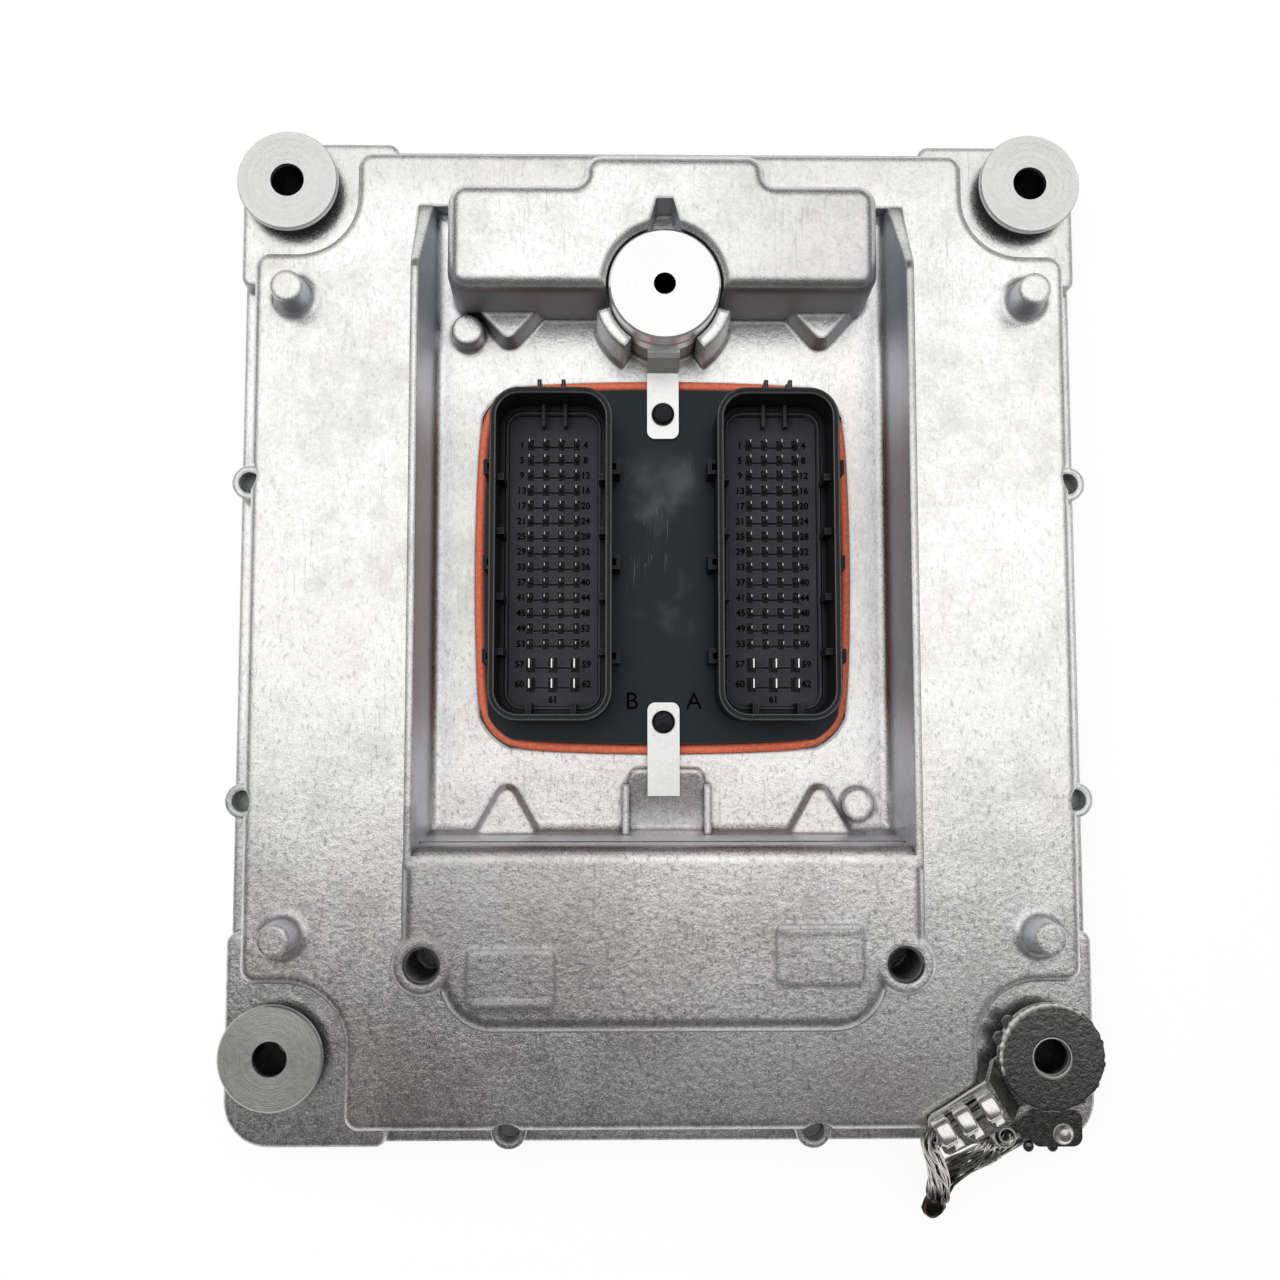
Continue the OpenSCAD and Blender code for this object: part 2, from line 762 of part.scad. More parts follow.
module screw_plan(r) {
  for (p = concat(rim_places, blind_places))
    translate(p)
      circle(r);
}

module base_cover() {
  color(c_steel)
    difference() {
      translate([0, 0, lift])
        linear_extrude(cover_t)
        difference() {
          cover_plan(0);
          screw_plan(screw_r + 0.2);
        }
      for (i = [-1:1])
        plate(slab(i * bead_x - 5, -bead_y, i * bead_x + 5, bead_y, 4.9), lift - 1, 1.8);
    }
}

module cover_gasket() {
  color(c_rubber)
    translate([0, 0, z_gasket])
    linear_extrude(gasket_t)
    difference() {
      cover_plan(0.8);
      outline(box_plan(wall_t));
      screw_plan(screw_r + 0.2);
    }
}

module cap_screw(l, r, hr, ht, hex) {
  difference() {
    union() {
      translate([0, 0, -ht])
        cylinder(r = hr, h = ht);
      cylinder(r = r, h = l);
    }
    translate([0, 0, -ht - 1])
      cylinder(r = hex, h = ht * 0.6 + 1, $fn = 6);
  }
}

module cover_screws() {
  color(c_steel) {
    for (p = rim_places)
      translate([p[0], p[1], lift])
        cap_screw(tip_z - lift, screw_r - 0.05, head_r, head_t, 2.1);
    for (p = blind_places)
      translate([p[0], p[1], lift])
        cap_screw(blind_top - 1 - lift, screw_r - 0.05, head_r, head_t, 2.1);
  }
}

// Circuit board and the parts on it
module circuit_board() {
  color(c_board)
    translate([0, 0, z_board])
    linear_extrude(board_t)
    difference() {
      outline(box_plan(wall_t + 1.5));
      for (p = column_places)
        translate(p)
          circle(board_screw_r + 0.2);
    }
}

module board_screws() {
  color(c_steel)
    for (p = column_places)
      translate([p[0], p[1], z_board])
        cap_screw(board_t + board_screw_l, board_screw_r - 0.05, 3.4, 2.2, 1.5);
}

module chip(x, y, w, l, h) {
  translate([x, y, z_parts]) {
    translate([-w / 2 - 1.4, -l / 2 + 1, 0])
      cube([w + 2.8, l - 2, 0.4]);
    translate([-w / 2, -l / 2, 0])
      cube([w, l, h]);
  }
}

module processor_chip() {
  color(c_dark)
    chip(-chip_x - 1, plate_y + 3, cpu_w, cpu_w, cpu_t);
}

module driver_chips() {
  color(c_dark)
    for (i = [-2.5:2.5])
      chip(chip_x - 1, i * driver_pitch, driver_w, driver_l, driver_t);
}

module power_transistors() {
  color(c_dark)
    for (i = [-3:3])
      chip(i * power_pitch, -low_front + power_gap, power_w, power_w, power_t);
}

module buffer_capacitors() {
  color(c_bright)
    for (i = [-2:2])
      translate([i * can_pitch, can_y, z_parts])
        rotate_extrude()
        polygon([[0, 0], [can_r, 0], [can_r, can_h - 0.8], [can_r - 0.8, can_h], [can_r - 2, can_h],
          [can_r - 2, can_h - 0.4], [0, can_h - 0.4]]);
}

module filter_coils() {
  color(c_dark)
    for (e = [-1, 1], i = [-1, 1])
      translate([e * (coil_x + i * coil_pitch / 2), (up_front + up_back) / 2, z_parts])
        difference() {
          translate([-coil_w / 2, -coil_l / 2, 0])
            cube([coil_w, coil_l, coil_h]);
          translate([0, 0, coil_h - coil_hole])
            cylinder(r = coil_w / 4, h = coil_hole + 1);
        }
}

// Connector header, seal and pins
module pin_plan(side) {
  translate([mid_x + side * socket_dx / 2, row_y])
    for (i = [0:cols - 1], j = [0:rows - 1])
      translate([(i - (cols - 1) / 2) * pitch, (j - (rows - 1) / 2) * pitch])
        square(pin_w, center = true);
}

module blade_plan(side) {
  translate([mid_x + side * socket_dx / 2, socket_y])
    for (i = [-1:1], y = blade_y)
      translate([i * blade_dx, y])
        square([blade_w, blade_l], center = true);
}

module shell_plan(i) {
  outline(slab(-socket_w / 2 + i, -socket_l / 2 + i, socket_w / 2 - i, socket_l / 2 - i, socket_r - i));
}

module socket_shell() {
  translate([0, 0, z_plate - 0.5])
    linear_extrude(socket_h + 0.5)
    shell_plan(0);
  for (y = loop_y, s = [-1, 1])
    translate([s * socket_w / 2, y, z_plate - 0.5])
      difference() {
        translate([-loop_d, -loop_l / 2, 0])
          cube([2 * loop_d, loop_l, socket_h - 5]);
        translate([-loop_d + 0.9, -loop_l / 2 + 0.9, 2])
          cube([2 * loop_d - 1.8, loop_l - 1.8, socket_h]);
      }
  for (x = [-2.9, 2.9])
    translate([x - 0.5, socket_l / 2 - 0.5, z_plate - 0.5])
      cube([1, 2.3, socket_h - 3]);
}

module socket_ribs() {
  translate([0, 0, z_socket - 0.5])
    linear_extrude(step_h + 0.5)
    difference() {
      shell_plan(shell_t - 0.3);
      shell_plan(shell_t + step_t);
    }
  for (y = rib_y, s = [-1, 1])
    translate([s * (socket_w / 2 - shell_t - 0.6) - 1.2, y - 0.8, z_socket - 0.5])
      cube([2.4, 1.6, socket_h - 2]);
  for (x = [-5.6, 5.6])
    translate([x - 0.7, -socket_l / 2 + shell_t - 0.5, z_socket - 0.5])
      cube([1.4, 3.4, socket_h - 4]);
}

module connector_header() {
  color(c_plastic)
    difference() {
      union() {
        difference() {
          union() {
            translate([mid_x, plate_y, z_seat_floor])
              linear_extrude(z_plate - z_seat_floor)
              header_plan(0);
            plate(opening_plan(0.3), z_seat_floor - 5, 5.5);
            for (s = [-1, 1])
              translate([mid_x + s * socket_dx / 2, socket_y, 0])
                socket_shell();
          }
          for (s = [-1, 1])
            translate([mid_x + s * socket_dx / 2, socket_y, z_socket])
              linear_extrude(socket_h + 3)
              shell_plan(shell_t);
        }
        for (s = [-1, 1])
          translate([mid_x + s * socket_dx / 2, socket_y, 0])
            socket_ribs();
        for (y = [stud_up, stud_low])
          translate([mid_x, plate_y + y, z_plate - 1])
            rotate_extrude()
            polygon([[0, 0], [stud_r, 0], [stud_r, clip_t + 1.8], [stud_r - 0.7, clip_t + 2.5],
              [0, clip_t + 2.9]]);
      }
      translate([0, 0, z_seat_floor - 6])
        linear_extrude(12)
        union() {
          pin_plan(-1);
          pin_plan(1);
          blade_plan(-1);
          blade_plan(1);
        }
    }
}

module pins(l) {
  translate([0, 0, z_parts])
    linear_extrude(z_socket + l - z_parts)
    children();
}

module signal_pins_a() {
  color(c_tin)
    pins(pin_l)
    pin_plan(1);
}

module signal_pins_b() {
  color(c_tin)
    pins(pin_l)
    pin_plan(-1);
}

module power_pins_a() {
  color(c_tin)
    pins(pin_l + 1)
    blade_plan(1);
}

module power_pins_b() {
  color(c_tin)
    pins(pin_l + 1)
    blade_plan(-1);
}

module header_seal() {
  color(c_seal)
    translate([mid_x, plate_y, z_seat_floor])
    linear_extrude(2.1)
    difference() {
      header_plan(-seal_w);
      header_plan(0);
    }
}

// Centre pillar and clips
module centre_pillar() {
  color(c_bright)
    translate([mid_x, pillar_y, z_pillar])
    difference() {
      rotate_extrude()
        polygon([[0, -spigot_l], [spigot_r, -spigot_l], [spigot_r, 0], [pillar_r, 0], [pillar_r, 4.4],
          [pillar_r - 0.5, 4.7], [pillar_r - 0.5, 5.5], [pillar_r, 5.8], [pillar_r, pillar_h - 0.5],
          [pillar_r - 0.5, pillar_h], [0, pillar_h]]);
      translate([0, 0, -spigot_l + 2])
        cylinder(r = pillar_hole_r, h = pillar_h + spigot_l);
    }
}

module clip_end(r) {
  translate([-clip_w / 2 + r, r])
    circle(r);
  translate([clip_w / 2 - r, r])
    circle(r);
  translate([-clip_w / 2 + r, 0])
    square([clip_w - 2 * r, 2 * r]);
}

module clip_hole(y) {
  translate([mid_x, plate_y + y, z_plate - 1])
    cylinder(r = stud_r + 0.05, h = 6);
}

module upper_clip() {
  tip = plate_y + stud_up - 6.4;
  bend = pillar_y - pillar_r - 3.2;
  rise = z_seat - z_plate;
  root = pillar_y - spigot_r - gap;
  color(c_bright)
    difference() {
      union() {
        translate([mid_x, tip, z_plate])
          linear_extrude(clip_t)
          clip_end(2);
        translate([mid_x - clip_w / 2, 0, z_plate])
          rotate([90, 0, 90])
          linear_extrude(clip_w)
          polygon([[tip + 2, 0], [bend, 0], [bend + 1.2, 0.5], [bend + 2.6, rise - 0.4], [bend + 3.4, rise],
            [root, rise], [root, rise + clip_t], [bend + 2.8, rise + clip_t],
            [bend + 1.6, rise + clip_t - 0.5],
            [bend + 0.2, clip_t + 0.6], [bend - 0.6, clip_t], [tip + 2, clip_t]]);
      }
      clip_hole(stud_up);
    }
}

module lower_clip() {
  tip = plate_y + stud_low + 5;
  color(c_bright)
    difference() {
      union() {
        translate([mid_x, tip, z_plate])
          rotate(180)
          linear_extrude(clip_t)
          clip_end(2);
        translate([mid_x - clip_w / 2, -low_front + 10.4, z_plate])
          cube([clip_w, tip - 2 + low_front - 10.4, clip_t]);
      }
      clip_hole(stud_low);
    }
}

// Isolators
module isolator_washers() {
  color(c_steel)
    at_isolators()
    translate([0, 0, z_disc])
    rotate_extrude()
    polygon([[bolt_r, 0], [washer_r, 0], [washer_r, washer_t - 0.4], [washer_r - 0.4, washer_t],
      [bolt_r, washer_t]]);
}

module isolator_lower_washers() {
  color(c_steel)
    at_isolators()
    rotate_extrude()
    polygon([[bolt_r, 0], [washer_r - 0.4, 0], [washer_r, 0.4], [washer_r, washer_t], [bolt_r, washer_t]]);
}

module isolator_bushes() {
  in = bolt_r + sleeve_t;
  color(c_rubber)
    at_isolators()
    rotate_extrude()
    polygon([[in, washer_t], [bush_lip_r - 0.8, washer_t], [bush_lip_r, washer_t + 0.8], [bush_lip_r, z_part],
      [bush_r, z_part], [bush_r, z_ledge], [bush_lip_r, z_ledge], [bush_lip_r, z_disc - 0.8],
      [bush_lip_r - 0.8, z_disc], [in, z_disc]]);
}

module isolator_sleeves() {
  color(c_steel)
    at_isolators()
    translate([0, 0, washer_t])
    difference() {
      cylinder(r = bolt_r + sleeve_t, h = z_disc - washer_t);
      translate([0, 0, -1])
        cylinder(r = bolt_r, h = z_disc + 2);
    }
}

// Ground strap
module tongue_frame() {
  translate([iso_x, -iso_y, ring_z])
    rotate(tongue_a)
    children();
}

module ring_terminal() {
  bend = ring_r + 1;
  crest = bend + 4.6;
  root = ring_r - 5;
  half = tongue_w / 2;
  color(c_dark)
    tongue_frame()
    difference() {
      union() {
        linear_extrude(term_t) {
          circle(ring_r);
          for (a = [0:24:336])
            rotate(a)
              translate([ring_r - 0.5, 0])
              circle(1.1, $fn = 16);
          for (a = nub_a)
            rotate(a - tongue_a)
              translate([ring_r + 0.7, 0])
              circle(1.8, $fn = 24);
        }
        intersection() {
          translate([0, tongue_w, 0])
            rotate([90, 0, 0])
            linear_extrude(2 * tongue_w)
            polygon([[root, 0], [bend, 0], [crest, hop], [tongue_l, hop], [tongue_l, hop + term_t],
              [crest - 0.7, hop + term_t], [bend - 0.7, term_t], [root, term_t]]);
          linear_extrude(hop + 2 * term_t)
            polygon([[root - 1, -half - 1.5], [crest, -half], [tongue_l - 1, -half + 0.9],
              [tongue_l, -half + 1.9], [tongue_l, half - 1.9], [tongue_l - 1, half - 0.9], [crest, half],
              [root - 1, half + 1.5]]);
        }
        for (u = band_u)
          translate([u, 0, upper_axis - ring_z])
            rotate([0, 90, 0])
            cylinder(r = barrel_r, h = band_l);
        translate([tongue_l - barrel_l, -half + 0.6, hop])
          cube([barrel_l - 1.5, 1, term_t + 1.3]);
      }
      translate([0, 0, -1])
        cylinder(r = bolt_r + 0.3, h = term_t + 2);
      translate([tongue_l - barrel_l - 1, 0, upper_axis - ring_z])
        rotate([0, 90, 0])
        cylinder(r = braid_r + braid_gap, h = barrel_l + 2);
    }
}

module tab_terminal() {
  color(c_dark)
    difference() {
      union() {
        plate(slab(lug_x - 8.4, lug_y - 3.2, lug_x + 5, lug_y + 6.2, 2.5), z_ledge, term_t);
        translate([lug_start[0], lug_start[1], z_ledge])
          rotate(lug_a)
          translate([-8, -barrel_r, 0])
          cube([lug_barrel_l + 6, 2 * barrel_r, term_t]);
        translate([lug_start[0], lug_start[1], lower_axis])
          rotate(lug_a)
          rotate([0, 90, 0])
          cylinder(r = barrel_r, h = lug_barrel_l);
      }
      translate([lug_start[0], lug_start[1], lower_axis])
        rotate(lug_a)
        translate([-2, 0, 0])
        rotate([0, 90, 0])
        cylinder(r = braid_r + braid_gap, h = lug_barrel_l + 4);
      translate([lug_x, lug_y, z_ledge - 1])
        cylinder(r = lug_screw_r + 0.1, h = 4);
    }
}

module strap_screw() {
  color(c_bright)
    translate([lug_x, lug_y, z_ledge]) {
      translate([0, 0, -8])
        cylinder(r = lug_screw_r - 0.05, h = 9);
      translate([0, 0, term_t])
        rotate_extrude()
        polygon([[0, -0.5], [lug_screw_r - 0.05, -0.5], [lug_screw_r - 0.05, 0], [2.3, 0], [2.3, 0.8],
          [1.6, 1.5], [0, 1.7]]);
    }
}

// Braid: rings of points set square to its route, skinned from end to end
function along(a, l) = [l * cos(a), l * sin(a)];
function place(p, z) = [p[0], p[1], z];
up_end = [iso_x, -iso_y] + along(tongue_a, tongue_l);
low_end = lug_start + along(lug_a, lug_barrel_l);
braid_sides = 10;
braid_route = concat(
  [for (l = [-barrel_l + 1, -8, -4, -1, 0.2]) place(up_end + along(tongue_a, l), upper_axis)],
  [for (v = braid_fall) place(up_end + xy(v), upper_axis - v[2])],
  [for (v = braid_rise) place(low_end + xy(v), lower_axis - v[2])],
  [for (l = [1.2, 0.2, -1, -3, -lug_barrel_l + 1]) place(low_end + along(lug_a, l), lower_axis)]);
function braid_way(i) = unit(braid_route[min(i + 1, len(braid_route) - 1)] - braid_route[max(i - 1, 0)]);
function braid_side(i) = unit(cross(braid_way(i), [0.94, 0, 0.34]));
function braid_ring(i) =
  let (u = braid_side(i), v = cross(u, braid_way(i)))
  [for (k = [0:braid_sides - 1])
    let (b = 360 * k / braid_sides)
    braid_route[i] + braid_r * (cos(b) * u + sin(b) * v)];
braid_points = [for (i = [0:len(braid_route) - 1]) each braid_ring(i)];
braid_faces = concat(
  [[for (k = [0:braid_sides - 1]) k]],
  [for (i = [0:len(braid_route) - 2], k = [0:braid_sides - 1])
    let (a = i * braid_sides, n = (k + 1) % braid_sides)
    [a + n, a + k, a + braid_sides + k, a + braid_sides + n]],
  [[for (k = [braid_sides - 1:-1:0]) (len(braid_route) - 1) * braid_sides + k]]);

module strap_braid() {
  color(c_tin)
    polyhedron(braid_points, braid_faces);
}

housing();
base_cover();
cover_gasket();
cover_screws();
circuit_board();
board_screws();
processor_chip();
driver_chips();
power_transistors();
buffer_capacitors();
filter_coils();
connector_header();
signal_pins_a();
signal_pins_b();
power_pins_a();
power_pins_b();
header_seal();
centre_pillar();
upper_clip();
lower_clip();
isolator_washers();
isolator_lower_washers();
isolator_bushes();
isolator_sleeves();
ring_terminal();
tab_terminal();
strap_braid();
strap_screw();
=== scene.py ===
"""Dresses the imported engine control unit: materials, small detail pieces, studio light and camera."""

import json
from math import copysign, cos, pi, radians, sin, sqrt

import bpy
from bpy.props import FloatProperty, FloatVectorProperty, IntProperty, PointerProperty
from bpy.types import Operator, Panel, PropertyGroup
from mathutils import Euler, Matrix, Vector

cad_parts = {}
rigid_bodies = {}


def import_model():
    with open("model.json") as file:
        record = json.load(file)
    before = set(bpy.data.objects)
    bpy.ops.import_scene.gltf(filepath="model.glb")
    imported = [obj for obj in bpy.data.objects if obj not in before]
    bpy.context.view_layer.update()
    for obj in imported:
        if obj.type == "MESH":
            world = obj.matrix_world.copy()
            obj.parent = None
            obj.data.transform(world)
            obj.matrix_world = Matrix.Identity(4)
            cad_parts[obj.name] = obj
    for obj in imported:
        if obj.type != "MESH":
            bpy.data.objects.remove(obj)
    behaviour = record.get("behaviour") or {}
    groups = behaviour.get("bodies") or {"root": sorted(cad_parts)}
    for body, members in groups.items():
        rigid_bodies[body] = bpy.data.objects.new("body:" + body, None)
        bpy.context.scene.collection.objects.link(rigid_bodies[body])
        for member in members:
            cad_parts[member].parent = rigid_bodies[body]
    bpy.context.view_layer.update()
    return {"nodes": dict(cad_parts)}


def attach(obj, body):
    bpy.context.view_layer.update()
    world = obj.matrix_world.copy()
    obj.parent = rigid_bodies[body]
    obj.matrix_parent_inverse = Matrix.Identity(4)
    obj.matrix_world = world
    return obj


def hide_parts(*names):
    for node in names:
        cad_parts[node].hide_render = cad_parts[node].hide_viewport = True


bl_info = {
    "name": "Engine control unit",
    "version": (1, 0, 0),
    "blender": (4, 5, 0),
    "location": "View3D > Sidebar > Control Unit",
    "description": "Dresses the packed engine control unit and lights it",
    "category": "Object",
}

for old in list(bpy.data.objects):
    bpy.data.objects.remove(old)
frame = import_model()
NODES = frame["nodes"]
MM = 0.001

# Places on the unit in millimetres, as the solids have them
HEADER_X, HEADER_Y = 0.5, 10.8
HEADER_HALF, HEADER_CORNER, HEADER_BOW = 46.3, 13.0, 600.0
PLATE_TOP = 31.0
SOCKET_FLOOR, SOCKET_MOUTH = 30.0, 46.5
SOCKET_HALF = (15.25, 41.6)
SOCKET_CORNER, SOCKET_WALL = 7.4, 1.6
SOCKET_X = {"a": 28.9, "b": -27.9}
SOCKET_Y = 12.0
ROWS, COLUMNS = 14, 4
ROW_Y, PITCH = 16.25, 4.0
BLADE_ROWS, BLADE_PITCH = (-27.0, -32.1), 5.7
BLADE_COLUMNS = (-1, 0, 1)
PIN_FOOT = 16.0
BOSS_X, BOSS_Y, BOSS_TOP, BOSS_BORE = 57.8, -87.9, 50.4, 4.25
STRAP_RING = Vector((100.0, -115.5, 26.0))
STRAP_ANGLE = radians(208.5)
STRAP_WAY = Vector((cos(STRAP_ANGLE), sin(STRAP_ANGLE), 0))
STRAP_ACROSS = Vector((-sin(STRAP_ANGLE), cos(STRAP_ANGLE), 0))
STRAP_SHIFT, STRAP_AXIS, STRAP_END = -1.5, 38.2, 36.5
TAB_BARREL, TAB_BARREL_LENGTH = Vector((92.0, -135.8, 23.6)), 6.5
RIVET = Vector((104.3, -136.3, 20.2))
BRAID_FALL = ((-1.3, -1.2, 0.2), (-1.2, -2.8, 1.0), (-0.2, -5.0, 2.8), (1.3, -8.4, 5.8),
              (2.6, -12.0, 9.2), (3.6, -15.4, 12.6), (4.2, -18.6, 15.8), (4.6, -21.2, 18.2))
BRAID_RISE = ((-13.9, -14.3, 6.2), (-13.3, -12.3, 7.4), (-12.1, -9.9, 7.1), (-10.1, -7.5, 5.9),
              (-7.3, -5.2, 3.9), (-4.7, -3.3, 1.9), (-2.5, -1.7, 0.5))

# Colours that several finishes share
EDGE_WEAR_AND_HIGHLIGHT = (0.95, 0.95, 0.94)
BORE_SHADE = (0.008, 0.008, 0.008)
NEAR_BLACK = (0.002, 0.002, 0.002)
PALE_WEAR_AND_SHEEN = (0.16, 0.17, 0.17)


def colour_prop(name, description, default):
    return FloatVectorProperty(
        name=name, description=description, subtype="COLOR", size=3, min=0, max=1, default=default)


def length_prop(name, description, default):
    return FloatProperty(name=name, description=description, unit="LENGTH", min=0, default=default)


def power_prop(name, description, default):
    return FloatProperty(name=name, description=description, unit="POWER", default=default)


class CastingFinish(PropertyGroup):
    """Colours and grain of the cast housing."""

    light: colour_prop("Light Metal", "Bright tone of the cast aluminium", (0.96, 0.955, 0.945))
    grey: colour_prop("Grey Metal", "Grey tone of the cast aluminium", (0.56, 0.555, 0.55))
    blush: colour_prop("Blush", "Warm stain on the cast aluminium", (0.86, 0.74, 0.755))
    # The corner colour is a painted shade.
    corner_shade: colour_prop("Corner Shade", "Painted shade in the corners", (0.10, 0.098, 0.095))
    grain: length_prop("Grain", "Size of the fine casting grain", 0.00055)
    mottle: length_prop("Mottle", "Size of the soft lumps in the casting skin", 0.0016)
    thread_pitch: length_prop("Thread Pitch", "Pitch of the threads in the two bosses", 0.00125)


class ConnectorFinish(PropertyGroup):
    """Colours and sizes of the connector."""

    # The shell colour also serves as a painted shade in the slots.
    shell: colour_prop("Shell", "Moulded plastic of the socket shells", (0.007, 0.008, 0.009))
    plate: colour_prop("Plate", "Moulded plastic of the header plate", (0.011, 0.014, 0.017))
    # The floor colour is lighter than the plate: painted light.
    floor: colour_prop("Socket Floor", "Moulded plastic between the pins", (0.038, 0.038, 0.043))
    seal: colour_prop("Seal", "Silicone of the header seal", (0.66, 0.15, 0.075))
    number_height: length_prop("Number Height", "Height of the moulded pin numbers", 0.0024)
    letter_height: length_prop("Letter Height", "Height of the two moulded socket letters", 0.0062)
    tile_height: length_prop("Tile Height", "Height of the floor between the pins", 0.0009)


class StrapFinish(PropertyGroup):
    """Colours and sizes of the ground strap."""

    plating: colour_prop("Plating", "Polished plating of the terminals", (0.82, 0.82, 0.79))
    wire: colour_prop("Wire", "Tinned wire of the braid", (0.85, 0.82, 0.76))
    strands: IntProperty(
        name="Strands", description="Strands in the outer layer of the braid", min=6, max=40, default=20)
    strand_radius: length_prop("Strand Radius", "Radius of one strand", 0.00029)


class StageSetup(PropertyGroup):
    """Camera, floor and lamps."""

    camera_place: FloatVectorProperty(
        name="Camera Place", description="Place of the camera", subtype="TRANSLATION", unit="LENGTH",
        default=(-0.009919, -0.033876, 0.365583))
    camera_turn: FloatVectorProperty(
        name="Camera Turn", description="Turn of the camera", subtype="EULER", unit="ROTATION",
        default=(radians(4.31093802), radians(-0.75629746), radians(0.02316604)))
    lens: FloatProperty(name="Lens", description="Focal length on a 36 mm sensor", unit="CAMERA", default=36.5625)
    floor: colour_prop("Floor", "Colour of the floor", (0.94, 0.94, 0.94))
    panel_power: power_prop("Panel Power", "Power of the large overhead panel", 7.9)
    fill_power: power_prop("Fill Power", "Power of the soft lamp that shows no gloss", 9.0)
    sky: FloatProperty(name="Sky", description="Strength of the light from the room", min=0, default=0.16)


# Node helpers


def shade(colour, amount):
    return tuple(c * amount for c in colour)


class Nodes:
    """Adds nodes to one tree; most methods give the socket that holds the result."""

    def __init__(self, tree):
        self.tree = tree

    def put(self, kind, sockets=None, **settings):
        """Adds a shader node, sets its properties and fills its inputs."""
        node = self.tree.nodes.new("ShaderNode" + kind)
        for name, value in settings.items():
            setattr(node, name, value)
        return self.fill(node, sockets or {})

    def fill(self, node, values):
        """Sets or links inputs; an underscore stands for a space in their names."""
        for name, value in values.items():
            self.wire(value, node.inputs[name.replace("_", " ")])
        return node

    def wire(self, value, socket):
        if isinstance(value, bpy.types.NodeSocket):
            self.tree.links.new(value, socket)
        elif socket.type == "RGBA":
            socket.default_value = (*value, 1)
        else:
            socket.default_value = value

    def calc(self, operation, first, second=0.0, clamp=False):
        node = self.put("Math", operation=operation, use_clamp=clamp)
        self.wire(first, node.inputs[0])
        self.wire(second, node.inputs[1])
        return node.outputs[0]

    def chain(self, operation, values):
        total = values[0]
        for value in values[1:]:
            total = self.calc(operation, total, value)
        return total

    def times(self, *values):
        return self.chain("MULTIPLY", values)

    def plus(self, *values):
        return self.chain("ADD", values)

    def largest(self, *values):
        return self.chain("MAXIMUM", values)

    def size_of(self, value):
        return self.calc("ABSOLUTE", value)

    def blend(self, mask, first, second, kind="MIX"):
        node = self.put("Mix", data_type="RGBA", blend_type=kind)
        for index, value in ((0, mask), (6, first), (7, second)):
            self.wire(value, node.inputs[index])
        return node.outputs[2]

    def between(self, value, low, high, start=0.0, end=1.0, smooth=False):
        node = self.put("MapRange", interpolation_type="SMOOTHSTEP" if smooth else "LINEAR")
        names = ("Value", "From Min", "From Max", "To Min", "To Max")
        return self.fill(node, dict(zip(names, (value, low, high, start, end)))).outputs["Result"]

    def place(self, stretch=(1, 1, 1), turn=(0, 0, 0)):
        """Position on the unit, stretched and turned."""
        where = self.put("TexCoord").outputs["Object"]
        if stretch == (1, 1, 1) and turn == (0, 0, 0):
            return where
        return self.put("Mapping", {"Vector": where, "Scale": stretch, "Rotation": turn}).outputs["Vector"]

    def axes(self, vector):
        return self.put("SeparateXYZ", {"Vector": vector}).outputs

    def cloud(self, where, size, detail=3.0, rough=0.55):
        """Noise whose lumps are about the given size in metres."""
        scale = self.calc("DIVIDE", 1.0, size) if isinstance(size, bpy.types.NodeSocket) else 1.0 / size
        inputs = {"Vector": where, "Scale": scale, "Detail": detail, "Roughness": rough}
        return self.put("TexNoise", inputs).outputs["Fac"]

    def group(self, name, **values):
        node = self.put("Group", node_tree=bpy.data.node_groups[name])
        return self.fill(node, values).outputs


class Skin(Nodes):
    """A new material, whose colour is laid on in layers."""

    def __init__(self, name):
        self.material = bpy.data.materials.new(name + "_finish")
        self.material.use_nodes = True
        super().__init__(self.material.node_tree)
        self.shader = self.tree.nodes["Principled BSDF"]
        self.base = None

    def set(self, **values):
        self.fill(self.shader, values)

    def cover(self, mask, colour, kind="MIX"):
        self.base = self.blend(mask, self.base, colour, kind)

    def finish(self, height, depth, strength, soft=0.0):
        """Links the colour and the bumps; soft is the radius to which the edges are eased."""
        bump = self.put("Bump", {"Height": height, "Distance": depth, "Strength": strength})
        if soft:
            eased = self.put("Bevel", {"Radius": soft}, samples=4)
            self.wire(eased.outputs["Normal"], bump.inputs["Normal"])
        self.set(Base_Color=self.base, Normal=bump.outputs["Normal"])
        return self.material


def new_group(name, inputs, outputs):
    """Starts a node group and gives its nodes, its inputs and its outputs."""
    tree = bpy.data.node_groups.new(name, "ShaderNodeTree")
    for label, value in inputs.items():
        tree.interface.new_socket(label, in_out="INPUT", socket_type="NodeSocketFloat").default_value = value
    for label in outputs:
        tree.interface.new_socket(label, in_out="OUTPUT", socket_type="NodeSocketFloat")
    return Nodes(tree), tree.nodes.new("NodeGroupInput").outputs, tree.nodes.new("NodeGroupOutput").inputs


def build_grain_group():
    """Fine grain: a tone and a height that change from spot to spot."""
    nodes, given, result = new_group("fine_grain", {"Size": 0.001}, ("Tone", "Height"))
    fine = nodes.cloud(nodes.place(), given["Size"], 4.0, 0.65)
    nodes.wire(nodes.between(fine, 0.3, 0.7), result["Tone"])
    nodes.wire(fine, result["Height"])


def build_patch_group():
    """Soft cloudy patches, large ones with small ones in them, and a stain of its own."""
    nodes, given, result = new_group("cloudy_patches", {"Size": 0.04}, ("Tone", "Stain"))
    large = nodes.cloud(nodes.place(), given["Size"], 5.0, 0.6)
    small = nodes.cloud(nodes.place(turn=(0.4, 0.1, 0.7)), nodes.times(given["Size"], 0.22), 4.0, 0.6)
    tone = nodes.plus(nodes.times(large, 0.6), nodes.times(small, 0.4))
    nodes.wire(nodes.between(tone, 0.36, 0.64), result["Tone"])
    tint = nodes.cloud(nodes.place(turn=(0.3, 0.2, 0.9)), nodes.times(given["Size"], 1.3), 3.0)
    nodes.wire(nodes.between(tint, 0.45, 0.68, smooth=True), result["Stain"])


